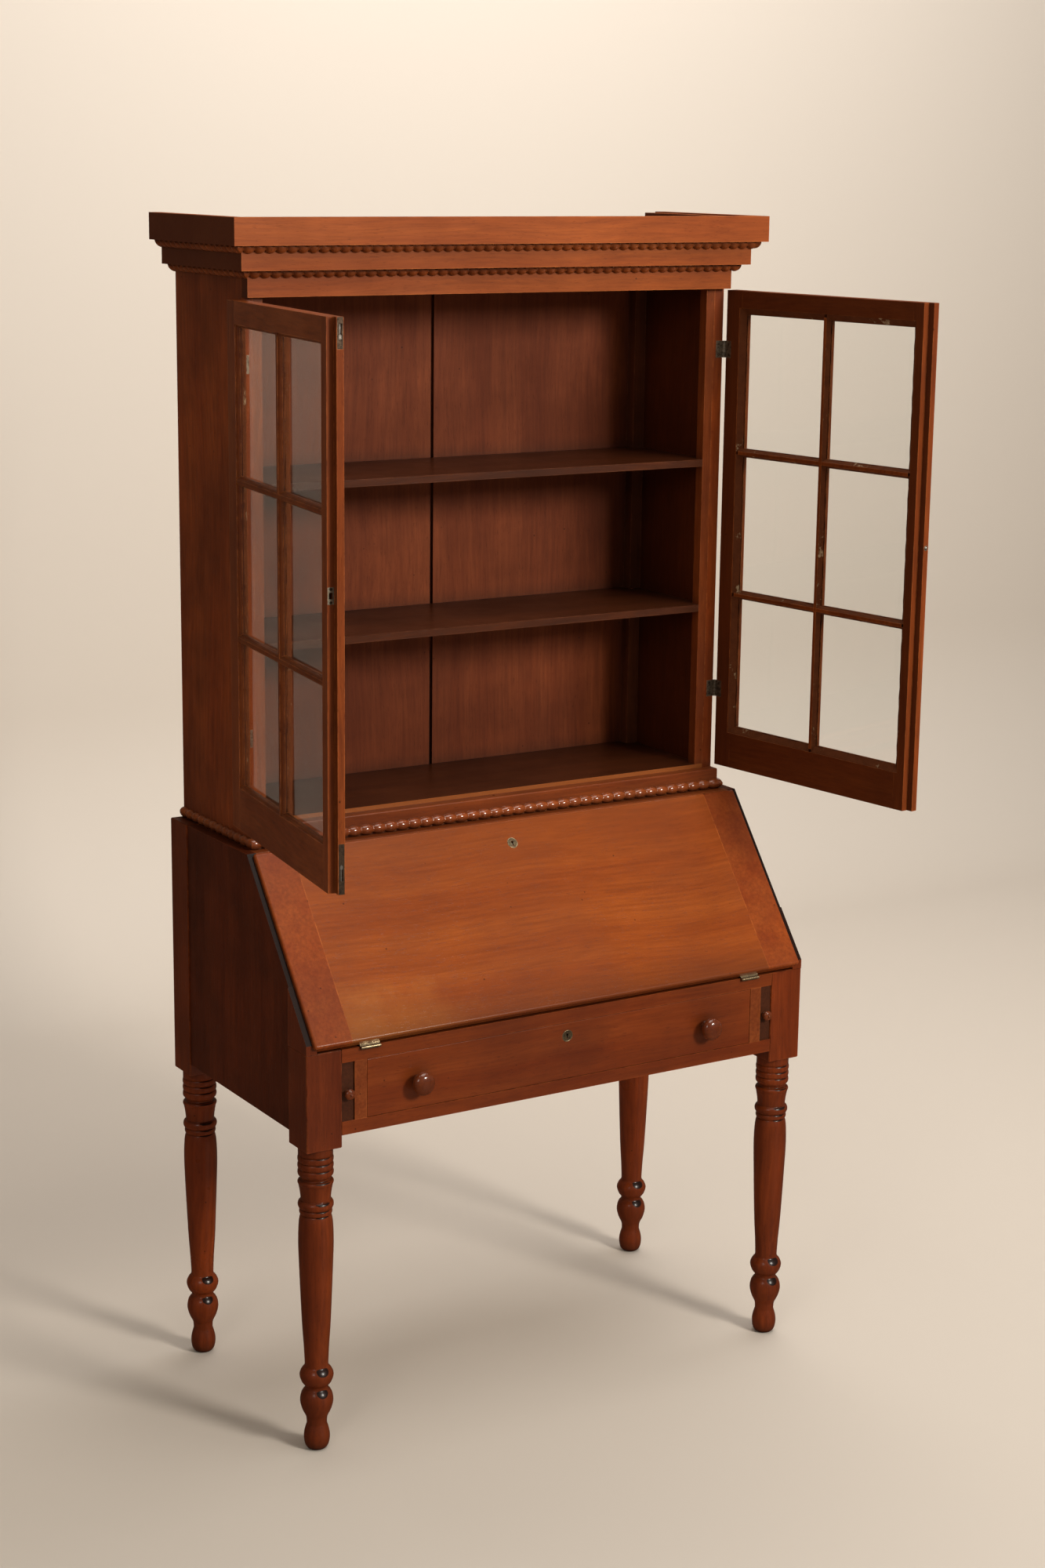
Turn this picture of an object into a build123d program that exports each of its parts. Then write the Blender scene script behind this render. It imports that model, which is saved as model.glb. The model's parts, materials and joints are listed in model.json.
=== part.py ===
"""Secretary desk: a slant-front desk on four turned legs, under a glazed two-door bookcase.

Millimetres, +Z up, X across the desk and +Y towards its back. The origin is on the floor, at the
middle of the whole object as it stands with both bookcase doors open.
"""

from build123d import *
from math import atan2, cos, degrees, hypot, radians, sin
import os

# ------------------------------------------------------------------ driving dimensions
case_w = 1040.0             # desk case, over the posts
case_d = 530.0
post = 67.5                 # square of each leg's post
post_bottom = 560.0
frame_bottom = 582.0        # underside of the rails and side panels
writing_z = 735.0
slant_low_z = 751.0         # front end of the sloping side edges
slant_run = 223.0
desk_top_z = 1034.0

bookcase_w = 986.6
stile_y = 270.0             # front of the bookcase case, behind the front of the desk
facing_t = 22.0             # band and frieze, proud of the bookcase case
band_top = 1071.5
floor_top = 1079.0
frieze_bottom = 1976.5
cornice_top = 2108.5
cornice_back = 534.0

door_open = 98.0            # degrees each door stands open
hinge_x = 497.0
hinge_back = 269.6          # hinge pins, behind the front of the desk
door_t = 24.0
door_bottom = 1077.0
door_top = 1973.5

board_t = 20.0
gap = 0.4                   # running gap round drawers and lopers

# ------------------------------------------------------------------ sizes that follow from them
alpha = atan2(desk_top_z - slant_low_z, slant_run)
lap = 6.0                   # half of the overlap where the two doors meet
door_reach = (hinge_x + lap - 0.5) * sin(radians(door_open)) - hinge_back
front = -(cornice_back - door_reach) / 2    # Y of the desk's front
back = front + case_d
half_w = case_w / 2
post_in = half_w - post
panel_in = 500.0
stile_front = front + stile_y
facing_front = stile_front - facing_t
half_bookcase = bookcase_w / 2
side_in = half_bookcase - board_t
hinge_y = front + hinge_back

os.makedirs("parts", exist_ok=True)


def mid(limits):
    return (limits[0] + limits[1]) / 2


def span(limits):
    return limits[1] - limits[0]


def save(piece, name):
    """Label a finished piece and write it as one STEP file."""
    piece.part.label = name
    export_step(piece.part, f"parts/{name}.step")


def board(x_range, y_range, z_range, mode=Mode.ADD):
    """Add, or cut, one rectangular board. Its y limits count from the front of the desk."""
    with Locations((mid(x_range), front + mid(y_range), mid(z_range))):
        Box(span(x_range), span(y_range), span(z_range), mode=mode)


def profile_board(points, x_range, mode=Mode.ADD):
    """Add, or cut, a board of constant side view. Each point is (y from the front, z)."""
    with BuildSketch(Plane.YZ.offset(x_range[0])) as side_view:
        with BuildLine():
            Polyline([(front + y, z) for y, z in points], close=True)
        make_face()
    extrude(side_view.sketch, amount=span(x_range), mode=mode)


def plan_board(points, z_range, mode=Mode.ADD):
    """Add, or cut, a board of constant plan. Each point is (x, y from the front)."""
    with BuildSketch(Plane.XY.offset(z_range[0])) as plan:
        with BuildLine():
            Polyline([(x, front + y) for x, y in points], close=True)
        make_face()
    extrude(plan.sketch, amount=span(z_range), mode=mode)


def round_bar(start, direction, radius, length, mode=Mode.ADD):
    """Add, or cut, a round bar along a direction."""
    with BuildSketch(Plane(origin=start, z_dir=direction)) as section:
        Circle(radius)
    extrude(section.sketch, amount=length, mode=mode)


# ================================================================== DESK CASE
# Turned leg: foot, ball, disc, long swelling shaft, collar, vase, three rings and a plain neck.
neck_r = 30.4
ring_r = 31.2
ring_h = 12.2
rings_low = 508.0


def turned_leg(side, depth):
    """One leg: side is -1 left or 1 right, depth is the leg centre behind the desk's front."""
    centre_x = side * (half_w - post / 2)
    turning_plane = Plane(origin=(centre_x, front + depth, 0), x_dir=(1, 0, 0), z_dir=(0, -1, 0))
    with BuildSketch(turning_plane) as outline:
        with BuildLine():
            Line((0, 0), (13, 0))
            ThreePointArc((13, 0), (23, 23), (17.4, 50))
            Spline((17.4, 50), (21.5, 68), (29.2, 92), (19.7, 115))
            Line((19.7, 115), (25.5, 127))
            ThreePointArc((25.5, 127), (29.9, 139), (22, 151))
            Spline((22, 151), (21, 165), (25.2, 240), (30.7, 388), (26, 437))
            ThreePointArc((26, 437), (28.8, 441), (26.5, 445))
            ThreePointArc((26.5, 445), (31.2, 455), (26, 465))
            Line((26, 465), (30.4, 494))
            ThreePointArc((30.4, 494), (30, 499), (25.2, 502))
            Line((25.2, 502), (28.5, rings_low))
            for ring in range(3):
                low = rings_low + ring * ring_h
                ThreePointArc((28.5, low), (ring_r, low + ring_h / 2), (28.5, low + ring_h))
            Line((28.5, rings_low + 3 * ring_h), (neck_r, rings_low + 3 * ring_h))
            Line((neck_r, rings_low + 3 * ring_h), (neck_r, post_bottom))
            Line((neck_r, post_bottom), (0, post_bottom))
            Line((0, post_bottom), (0, 0))
        make_face()
    revolve(outline.sketch, axis=Axis((centre_x, front + depth, 0), (0, 0, 1)))


def outer_x(side, inner, outer):
    """The x limits of something between two distances from the middle, on one side."""
    return (inner, outer) if side > 0 else (-outer, -inner)


# Front legs: the post is full up to the writing surface. Above it an ear carries the slope.
slope_rise = (desk_top_z - slant_low_z) / slant_run
for side, hand in ((-1, "left"), (1, "right")):
    with BuildPart() as front_leg:
        turned_leg(side, post / 2)
        board(outer_x(side, post_in, half_w), (0, post), (post_bottom, writing_z))
        ear = [(0, writing_z), (post, writing_z), (post, slant_low_z + post * slope_rise)]
        profile_board(ear + [(0, slant_low_z)], outer_x(side, panel_in, half_w))
    save(front_leg, f"front_{hand}_leg")

    with BuildPart() as back_leg:
        turned_leg(side, case_d - post / 2)
        board(outer_x(side, post_in, half_w), (case_d - post, case_d), (post_bottom, desk_top_z))
    save(back_leg, f"back_{hand}_leg")

# Side panels, set a little inside the posts, with the sloping front edge.
panel_out = half_w - 2.0
panel_view = [
    (post, frame_bottom),
    (case_d - post, frame_bottom),
    (case_d - post, desk_top_z),
    (slant_run, desk_top_z),
    (post, slant_low_z + post * slope_rise),
]
with BuildPart() as side_panels:
    profile_board(panel_view, (panel_in, panel_out))
    mirror(about=Plane.YZ)
save(side_panels, "side_panels")

# Back panel between the back posts.
back_panel_y = 512.0
with BuildPart() as case_back_panel:
    board((-post_in, post_in), (back_panel_y, back_panel_y + 12), (frame_bottom, 1014))
save(case_back_panel, "case_back_panel")

# The slope's own coordinates: u climbs it from the front end of the side edges, v stands out of it.
fall_top_u = 346.0          # where the fall's thick part stops under the desk top
fall_lip_u = 357.0
fall_bottom_u = -8.7
lip_v = 8.3


def slope(u, v):
    """A point (y from the front, z) at u up the slope and v out of it."""
    return (u * cos(alpha) - v * sin(alpha), slant_low_z + u * sin(alpha) + v * cos(alpha))


# Desk top, between the side panels and round the back posts, with a stepped edge for the fall.
top_under = desk_top_z - board_t
step_v = (top_under - slope(fall_top_u, 0)[1]) / cos(alpha)
with BuildPart() as desk_top:
    top_view = [
        (slant_run, desk_top_z),
        slope(fall_top_u, 0),
        slope(fall_top_u, step_v),
        (case_d, top_under),
        (case_d, desk_top_z),
    ]
    profile_board(top_view, (-panel_in, panel_in))
    for side in (-1, 1):
        board(outer_x(side, post_in, half_w), (case_d - post, case_d + 1),
              (top_under - 1, desk_top_z + 1), mode=Mode.SUBTRACT)
save(desk_top, "desk_top")

# Front rails. The writing rail is let in for the leaves of the fall's hinges.
drawer_low = 606.0
drawer_high = 711.0
fall_hinge_x = 399.0
fall_hinge_half = 19.0
leaf_t = 1.6
fall_leaf_back = 27.0
with BuildPart() as front_rails:
    board((-post_in, post_in), (0, 22), (frame_bottom, drawer_low))
    board((-post_in, post_in), (0, 40), (drawer_high, writing_z))
    for side in (-1, 1):
        centre = side * fall_hinge_x
        board((centre - fall_hinge_half - 0.2, centre + fall_hinge_half + 0.2),
              (-1, fall_leaf_back + 0.2), (writing_z - leaf_t, writing_z + 1), mode=Mode.SUBTRACT)
save(front_rails, "front_rails")

# Writing surface, behind the writing rail and fitted round the posts.
writing_t = 18.0
with BuildPart() as writing_board:
    board((-post_in, post_in), (40, back_panel_y), (writing_z - writing_t, writing_z))
    board((-panel_in, panel_in), (post, case_d - post), (writing_z - writing_t, writing_z))
save(writing_board, "writing_board")

# Partitions between the drawer and the lopers, and the runners under both.
partition_in = 404.5
partition_out = 428.0
with BuildPart() as loper_partitions:
    board((partition_in, partition_out), (0, 500), (drawer_low, drawer_high))
    mirror(about=Plane.YZ)
save(loper_partitions, "loper_partitions")

with BuildPart() as drawer_runners:
    board((385, post_in), (22, back_panel_y), (frame_bottom, drawer_low))
    mirror(about=Plane.YZ)
save(drawer_runners, "drawer_runners")

# ================================================================== LETTER UNIT BEHIND THE FALL
unit_front = 270.0
unit_back = 460.0
unit_side = panel_in - 1
unit_t = 8.0
unit_top = 1008.0
unit_shelf = 812.0
joint = 0.05                # glue line between boards of the unit and of the drawers
bays = 6
bay_w = 2 * (unit_side - unit_t) / bays
divider_t = 6.0
with BuildPart() as pigeonhole_boards:
    for side in (-1, 1):
        board(outer_x(side, unit_side - unit_t, unit_side), (unit_front, unit_back),
              (writing_z, unit_top - unit_t - joint))
        board(outer_x(side, bay_w - unit_t / 2, bay_w + unit_t / 2), (unit_front, unit_back),
              (writing_z, unit_shelf - joint))
    board((-unit_side, unit_side), (unit_front, unit_back), (unit_top - unit_t, unit_top))
    inner = unit_side - unit_t - joint
    board((-inner, inner), (unit_front, unit_back), (unit_shelf, unit_shelf + unit_t))
    for number in range(1, bays):
        x = number * bay_w - unit_side + unit_t
        board((x - divider_t / 2, x + divider_t / 2), (unit_front, unit_back),
              (unit_shelf + unit_t + joint, unit_top - unit_t - joint))
save(pigeonhole_boards, "pigeonhole_boards")

# A valance with an arched lower edge across the top of each pigeonhole.
valance_h = 24.0
valance_top = unit_top - unit_t - joint
with BuildPart() as valances:
    for number in range(bays):
        left = number * bay_w - unit_side + unit_t + divider_t / 2 + 1.2
        right = left + bay_w - divider_t - 2.4
        with BuildSketch(Plane.XZ.offset(-(front + unit_front + 7))) as valance:
            with BuildLine():
                Line((left, valance_top - valance_h), (left, valance_top))
                Line((left, valance_top), (right, valance_top))
                Line((right, valance_top), (right, valance_top - valance_h))
                ThreePointArc((right, valance_top - valance_h),
                              ((left + right) / 2, valance_top - valance_h * 0.4),
                              (left, valance_top - valance_h))
            make_face()
        extrude(valance.sketch, amount=5)
save(valances, "pigeonhole_valances")


def turned_knob(x, y, z, radius, height, stem_r, tenon):
    """A mushroom knob standing forward of the face at y, with its tenon through the wood."""
    with BuildSketch(Plane(origin=(x, front + y, z), x_dir=(1, 0, 0), z_dir=(0, 0, 1))) as outline:
        with BuildLine():
            Line((0, tenon), (stem_r * 0.8, tenon))
            Line((stem_r * 0.8, tenon), (stem_r * 0.8, 0))
            Line((stem_r * 0.8, 0), (stem_r * 1.25, 0))
            ThreePointArc((stem_r * 1.25, 0), (stem_r, -0.2 * height), (radius * 0.9, -0.45 * height))
            ThreePointArc((radius * 0.9, -0.45 * height), (radius, -0.6 * height),
                          (radius * 0.86, -0.76 * height))
            ThreePointArc((radius * 0.86, -0.76 * height), (radius * 0.6, -0.92 * height),
                          (radius * 0.25, -height))
            Line((radius * 0.25, -height), (0, -height))
            Line((0, -height), (0, tenon))
        make_face()
    revolve(outline.sketch, axis=Axis((x, front + y, z), (0, 1, 0)))


# Two small drawers under the pigeonholes, with an open space between them.
small_low = writing_z + gap
small_high = unit_shelf - 0.8
small_front = unit_front - 2
small_t = 7.0
small_end = unit_back - 4
for side, hand in ((-1, "left"), (1, "right")):
    near = bay_w + unit_t / 2 + gap
    far = unit_side - unit_t - gap
    centre = side * mid((near, far))
    with BuildPart() as small_drawer:
        board(outer_x(side, near, far), (small_front, small_front + 10), (small_low, small_high))
        for inner, outer in ((near, near + small_t), (far - small_t, far)):
            board(outer_x(side, inner, outer), (small_front + 10 + joint, small_end),
                  (small_low, small_high - 3))
        between = outer_x(side, near + small_t + joint, far - small_t - joint)
        board(between, (small_end - small_t, small_end), (small_low, small_high - 3))
        board(between, (small_front + 10 + joint, small_end - small_t - joint),
              (small_low, small_low + 5))
        round_bar((centre, front + small_front + 10, mid((small_low, small_high))), (0, -1, 0),
                  3.2, 10, mode=Mode.SUBTRACT)
        turned_knob(centre, small_front, mid((small_low, small_high)), 8, 14, 4, 10)
    save(small_drawer, f"{hand}_small_drawer")

# ================================================================== BOOKCASE CASE
side_top = 2060.0
top_board_low = 1985.0
lining_y = 517.0            # front of the back boards
shelf_t = 13.0
dado = 5.0
shelf_tops = {"upper_shelf": 1662.0, "lower_shelf": 1388.0}
door_hinge_z = (1225.0, 1865.0)
door_leaf = (3.4, 18.0)     # reach of each leaf from the pin
door_leaf_t = 1.5
door_leaf_half = 15.5
leaf_face = 0.4             # leaf face to pin centre

# Sides, grooved for the shelves and let in for the hinge leaves.
with BuildPart() as bookcase_sides:
    board((side_in, half_bookcase), (stile_y, case_d), (desk_top_z, side_top))
    for top in shelf_tops.values():
        board((side_in - 1, side_in + dado), (stile_y + 20, lining_y), (top - shelf_t, top),
              mode=Mode.SUBTRACT)
    for z in door_hinge_z:
        board((hinge_x - door_leaf[1] - 0.2, hinge_x), (stile_y - 1, stile_y + door_leaf_t),
              (z - door_leaf_half - 0.2, z + door_leaf_half + 0.2), mode=Mode.SUBTRACT)
    mirror(about=Plane.YZ)
save(bookcase_sides, "bookcase_sides")

# Face stiles beside the front edges of the sides.
stile_w = 18.0
with BuildPart() as face_stiles:
    board((side_in - stile_w, side_in), (stile_y, stile_y + 20), (floor_top, top_board_low))
    mirror(about=Plane.YZ)
save(face_stiles, "face_stiles")

with BuildPart() as bookcase_top:
    board((-side_in, side_in), (stile_y, lining_y), (top_board_low, top_board_low + 18))
save(bookcase_top, "bookcase_top_board")

with BuildPart() as bookcase_floor:
    board((-side_in, side_in), (stile_y, lining_y), (floor_top - 18, floor_top))
save(bookcase_floor, "bookcase_floor")

# Two wide back boards. The right one has a thin tongue behind the open seam.
seam_left = 11.5
seam_right = 18.5
with BuildPart() as back_boards:
    board((-side_in, seam_left), (lining_y, lining_y + 12), (desk_top_z + 6, side_top))
    board((seam_right, side_in), (lining_y, lining_y + 12), (desk_top_z + 6, side_top))
    board((seam_left + 0.5, seam_right), (lining_y + 7, lining_y + 12), (desk_top_z + 6, side_top))
save(back_boards, "back_boards")

# Upright strips in the two back corners.
strip_w = 24.0
strip_y = 494.0
with BuildPart() as corner_strips:
    board((side_in - strip_w, side_in), (strip_y, lining_y), (floor_top, top_board_low))
    mirror(about=Plane.YZ)
save(corner_strips, "corner_strips")

# Shelves, notched round the stiles and the corner strips and housed in the sides.
for name, top in shelf_tops.items():
    with BuildPart() as shelf:
        between_stiles = side_in - stile_w
        between_strips = side_in - strip_w
        board((-between_stiles, between_stiles), (stile_y, stile_y + 20), (top - shelf_t, top))
        board((-side_in - dado, side_in + dado), (stile_y + 20, strip_y), (top - shelf_t, top))
        board((-between_strips, between_strips), (strip_y, lining_y), (top - shelf_t, top))
    save(shelf, name)

# Flat band across the foot of the bookcase, with the socket for the door's bottom bolt.
bolt_u = 498.0              # flush bolts, from the left door's hinge
bolt_d = 6.4
bolt_r = 2.8
bolt_hole_r = 3.6
bolt_x = bolt_u - hinge_x
bolt_y = hinge_y - bolt_d
with BuildPart() as base_band:
    board((-half_bookcase, half_bookcase), (stile_y - facing_t, stile_y), (desk_top_z, band_top))
    round_bar((bolt_x, bolt_y, band_top), (0, 0, -1), bolt_hole_r, 14, mode=Mode.SUBTRACT)
    top_front = base_band.edges().group_by(Axis.Z)[-1].filter_by(Axis.X).sort_by(Axis.Y)[0]
    fillet(top_front, radius=2.5)
save(base_band, "base_band")

# Frieze over the doors, with the socket for the top bolt.
frieze_top = 2040.0
with BuildPart() as frieze:
    board((-half_bookcase, half_bookcase), (stile_y - facing_t, stile_y),
          (frieze_bottom, frieze_top))
    round_bar((bolt_x, bolt_y, frieze_bottom), (0, 0, 1), bolt_hole_r, 14, mode=Mode.SUBTRACT)
save(frieze, "frieze")


# ------------------------------------------------------------------ mouldings round three sides
def three_sides(inner_x, outer_x_, inner_y, outer_y, z_range):
    """A front board and two returns, mitred at the front corners.

    inner_y and outer_y are the front board's faces behind the desk's front.
    """
    corner = joint
    front_plan = [(-outer_x_ + corner, outer_y), (outer_x_ - corner, outer_y),
                  (inner_x - corner, inner_y), (-inner_x + corner, inner_y)]
    plan_board(front_plan, z_range)
    for side in (-1, 1):
        plan = [(side * outer_x_, outer_y + corner), (side * outer_x_, cornice_back),
                (side * inner_x, cornice_back), (side * inner_x, inner_y + corner)]
        plan_board(plan, z_range)


def moulding(inner_x, inner_y, reach, section, z):
    """A moulding on the front and both sides of a box, mitred, from one section placed at z.

    The section's x axis points out of the box and its y axis down.
    """
    half_run = inner_x + reach
    front_plane = Plane(origin=(-half_run, front + inner_y, z), x_dir=(0, -1, 0), z_dir=(1, 0, 0))
    with BuildSketch(front_plane) as front_section:
        add(section)
    front_bar = extrude(front_section.sketch, amount=2 * half_run, mode=Mode.PRIVATE)
    with BuildSketch(Plane(origin=(inner_x, front + inner_y - reach, z), x_dir=(1, 0, 0),
                           z_dir=(0, 1, 0))) as side_section:
        add(section)
    run = cornice_back - inner_y + reach
    side_bar = extrude(side_section.sketch, amount=run, mode=Mode.PRIVATE)
    for side in (-1, 1):
        mitre = Plane(origin=(side * (inner_x - joint), front + inner_y, z),
                      z_dir=(side, 1, 0))
        front_bar = split(front_bar, bisect_by=mitre, keep=Keep.BOTTOM, mode=Mode.PRIVATE)
    add(front_bar)
    mitre = Plane(origin=(inner_x, front + inner_y, z), z_dir=(1, 1, 0))
    side_bar = split(side_bar, bisect_by=mitre, keep=Keep.TOP, mode=Mode.PRIVATE)
    add(side_bar)
    add(mirror(side_bar, about=Plane.YZ, mode=Mode.PRIVATE))


# Section of the base moulding: a half round on a thin flat.
half_round_r = 9.0
half_round_out = 1.5
with BuildSketch() as half_round:
    with BuildLine():
        Line((0, -half_round_r), (half_round_out, -half_round_r))
        ThreePointArc((half_round_out, -half_round_r), (half_round_out + half_round_r, 0),
                      (half_round_out, half_round_r))
        Line((half_round_out, half_round_r), (0, half_round_r))
        Line((0, half_round_r), (0, -half_round_r))
    make_face()

# Section of the cornice ropes: a quarter round, flat above and behind.
quarter_r = 13.5
bulge = quarter_r * cos(radians(45))
with BuildSketch() as quarter_round:
    with BuildLine():
        Line((0, 0), (quarter_r, 0))
        ThreePointArc((quarter_r, 0), (bulge, bulge), (0, quarter_r))
        Line((0, quarter_r), (0, 0))
    make_face()

band_y = stile_y - facing_t
with BuildPart() as base_rope:
    moulding(half_bookcase, band_y, half_round_r + half_round_out, half_round.sketch,
             desk_top_z + half_round_r)
save(base_rope, "base_rope")

lower_fascia_z = 2021.0
upper_fascia_z = 2062.5
lower_out = 517.0
upper_out = 540.0
lower_y = band_y - 27.0
upper_y = lower_y - 22.0
with BuildPart() as lower_fascia:
    three_sides(half_bookcase, lower_out, band_y, lower_y, (lower_fascia_z, cornice_top - 2))
save(lower_fascia, "lower_fascia")

with BuildPart() as upper_fascia:
    three_sides(lower_out, upper_out, lower_y, upper_y, (upper_fascia_z, cornice_top))
save(upper_fascia, "upper_fascia")

with BuildPart() as lower_rope:
    moulding(half_bookcase, band_y, quarter_r, quarter_round.sketch, lower_fascia_z)
save(lower_rope, "lower_rope")

with BuildPart() as upper_rope:
    moulding(lower_out, lower_y, quarter_r, quarter_round.sketch, upper_fascia_z)
save(upper_rope, "upper_rope")

# ================================================================== HINGES
knuckle_r = 3.2
pin_r = 1.3
bore_r = 1.36
knuckles = 5


def knuckle_row(start, direction, length, first, bored):
    """Every second knuckle along a hinge, from the knuckle numbered first."""
    pitch = length / knuckles
    for number in range(first, knuckles, 2):
        place = Vector(*start) + Vector(*direction) * (number * pitch + 0.2)
        round_bar(tuple(place), direction, knuckle_r, pitch - 0.4)
        if bored:
            round_bar(tuple(place), direction, bore_r, pitch - 0.4, mode=Mode.SUBTRACT)


def door_plan(side, z):
    """Plan of an open door: x runs from its hinge to its free edge, y is square to it."""
    swing = radians(door_open)
    return Plane(origin=(side * hinge_x, hinge_y, z), x_dir=(-side * cos(swing), -sin(swing), 0),
                 z_dir=(0, 0, 1))


def door_board(side, u_range, d_range, z_range, mode=Mode.ADD):
    """Add, or cut, a board of a door: u from the hinge, d from the hinge outwards, z its height."""
    with BuildSketch(door_plan(side, z_range[0])) as outline:
        with Locations((mid(u_range), side * mid(d_range))):
            Rectangle(span(u_range), span(d_range))
    extrude(outline.sketch, amount=span(z_range), mode=mode)


def door_rod(side, u, d, z_range, radius, mode=Mode.ADD):
    """Add, or cut, an upright round bar of a door."""
    with BuildSketch(door_plan(side, z_range[0])) as outline:
        with Locations((u, side * d)):
            Circle(radius)
    extrude(outline.sketch, amount=span(z_range), mode=mode)


# Case halves of the four door hinges: leaf, three knuckles and the pin.
with BuildPart() as case_door_hinges:
    pitch = 2 * door_leaf_half / knuckles
    for z in door_hinge_z:
        low = z - door_leaf_half
        leaf_y = (hinge_back + leaf_face, hinge_back + leaf_face + door_leaf_t)
        board((hinge_x - door_leaf[1], hinge_x - door_leaf[0]), leaf_y, (low, z + door_leaf_half))
        for number in range(0, knuckles, 2):
            tab = low + number * pitch
            board((hinge_x - door_leaf[0], hinge_x), leaf_y, (tab + 0.2, tab + pitch - 0.2))
        knuckle_row((hinge_x, hinge_y, low), (0, 0, 1), 2 * door_leaf_half, 0, bored=False)
        round_bar((hinge_x, hinge_y, low), (0, 0, 1), pin_r, 2 * door_leaf_half)
    mirror(about=Plane.YZ)
save(case_door_hinges, "case_door_hinges")

# Axis of the fall's hinges, in front of the writing rail.
fall_pin_y = -3.6
fall_pin_z = writing_z - 1.5
pin_u = fall_pin_y * cos(alpha) + (fall_pin_z - slant_low_z) * sin(alpha)
pin_v = -fall_pin_y * sin(alpha) + (fall_pin_z - slant_low_z) * cos(alpha)
fall_in_v = pin_v - (writing_z - fall_pin_z)    # inner face, level with the desk when open

with BuildPart() as case_fall_hinges:
    pitch = 2 * fall_hinge_half / knuckles
    for side in (-1, 1):
        left = side * fall_hinge_x - fall_hinge_half
        leaf_z = (writing_z - leaf_t, writing_z)
        board((left, left + 2 * fall_hinge_half), (fall_pin_y + 3.4, fall_leaf_back), leaf_z)
        for number in range(0, knuckles, 2):
            tab = left + number * pitch
            board((tab + 0.2, tab + pitch - 0.2), (fall_pin_y, fall_pin_y + 3.4), leaf_z)
        start = (left, front + fall_pin_y, fall_pin_z)
        knuckle_row(start, (1, 0, 0), 2 * fall_hinge_half, 0, bored=False)
        round_bar(start, (1, 0, 0), pin_r, 2 * fall_hinge_half)
save(case_fall_hinges, "case_fall_hinges")

# ================================================================== DOORS
edge_u = 5.2                # hinge edge of a door, from the pin
sight_u = (45.0, 467.0)     # opening between the stiles, before its moulding
sight_z = (1151.0, 1935.0)
face_d = (leaf_face, leaf_face + door_t)
half_d = mid(face_d)
rabbet = 7.0
rabbet_z = (sight_z[0] - rabbet, sight_z[1] + rabbet)
bar_w = 16.0
rib_w = 5.0
glass_t = 2.5
meet_far = hinge_x + lap - 0.5      # the half of the meeting edge that laps
meet_near = hinge_x - lap - 0.5
lap_gap = 0.15                      # clearance on each face of the lap
bar_u = mid(sight_u)
pane_h = (span(sight_z) - 2 * bar_w) / 3
bar_z = [sight_z[0] + (number + 1) * pane_h + (number + 0.5) * bar_w for number in range(2)]
catch_z = 1550.0
catch_d = half_d + door_t / 4
catch_r = 4.5
ball_r = 3.45
plate_t = 1.5
plate_d = (1.4, 11.4)
plate_heights = {"upper": (door_top - 48, door_top), "lower": (door_bottom, door_bottom + 82)}
slot_half = 2.5
slot_reach = {"upper": (door_top - 34, door_top - 10), "lower": (door_bottom + 22, door_bottom + 48)}
strike_half = 13.5

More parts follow.
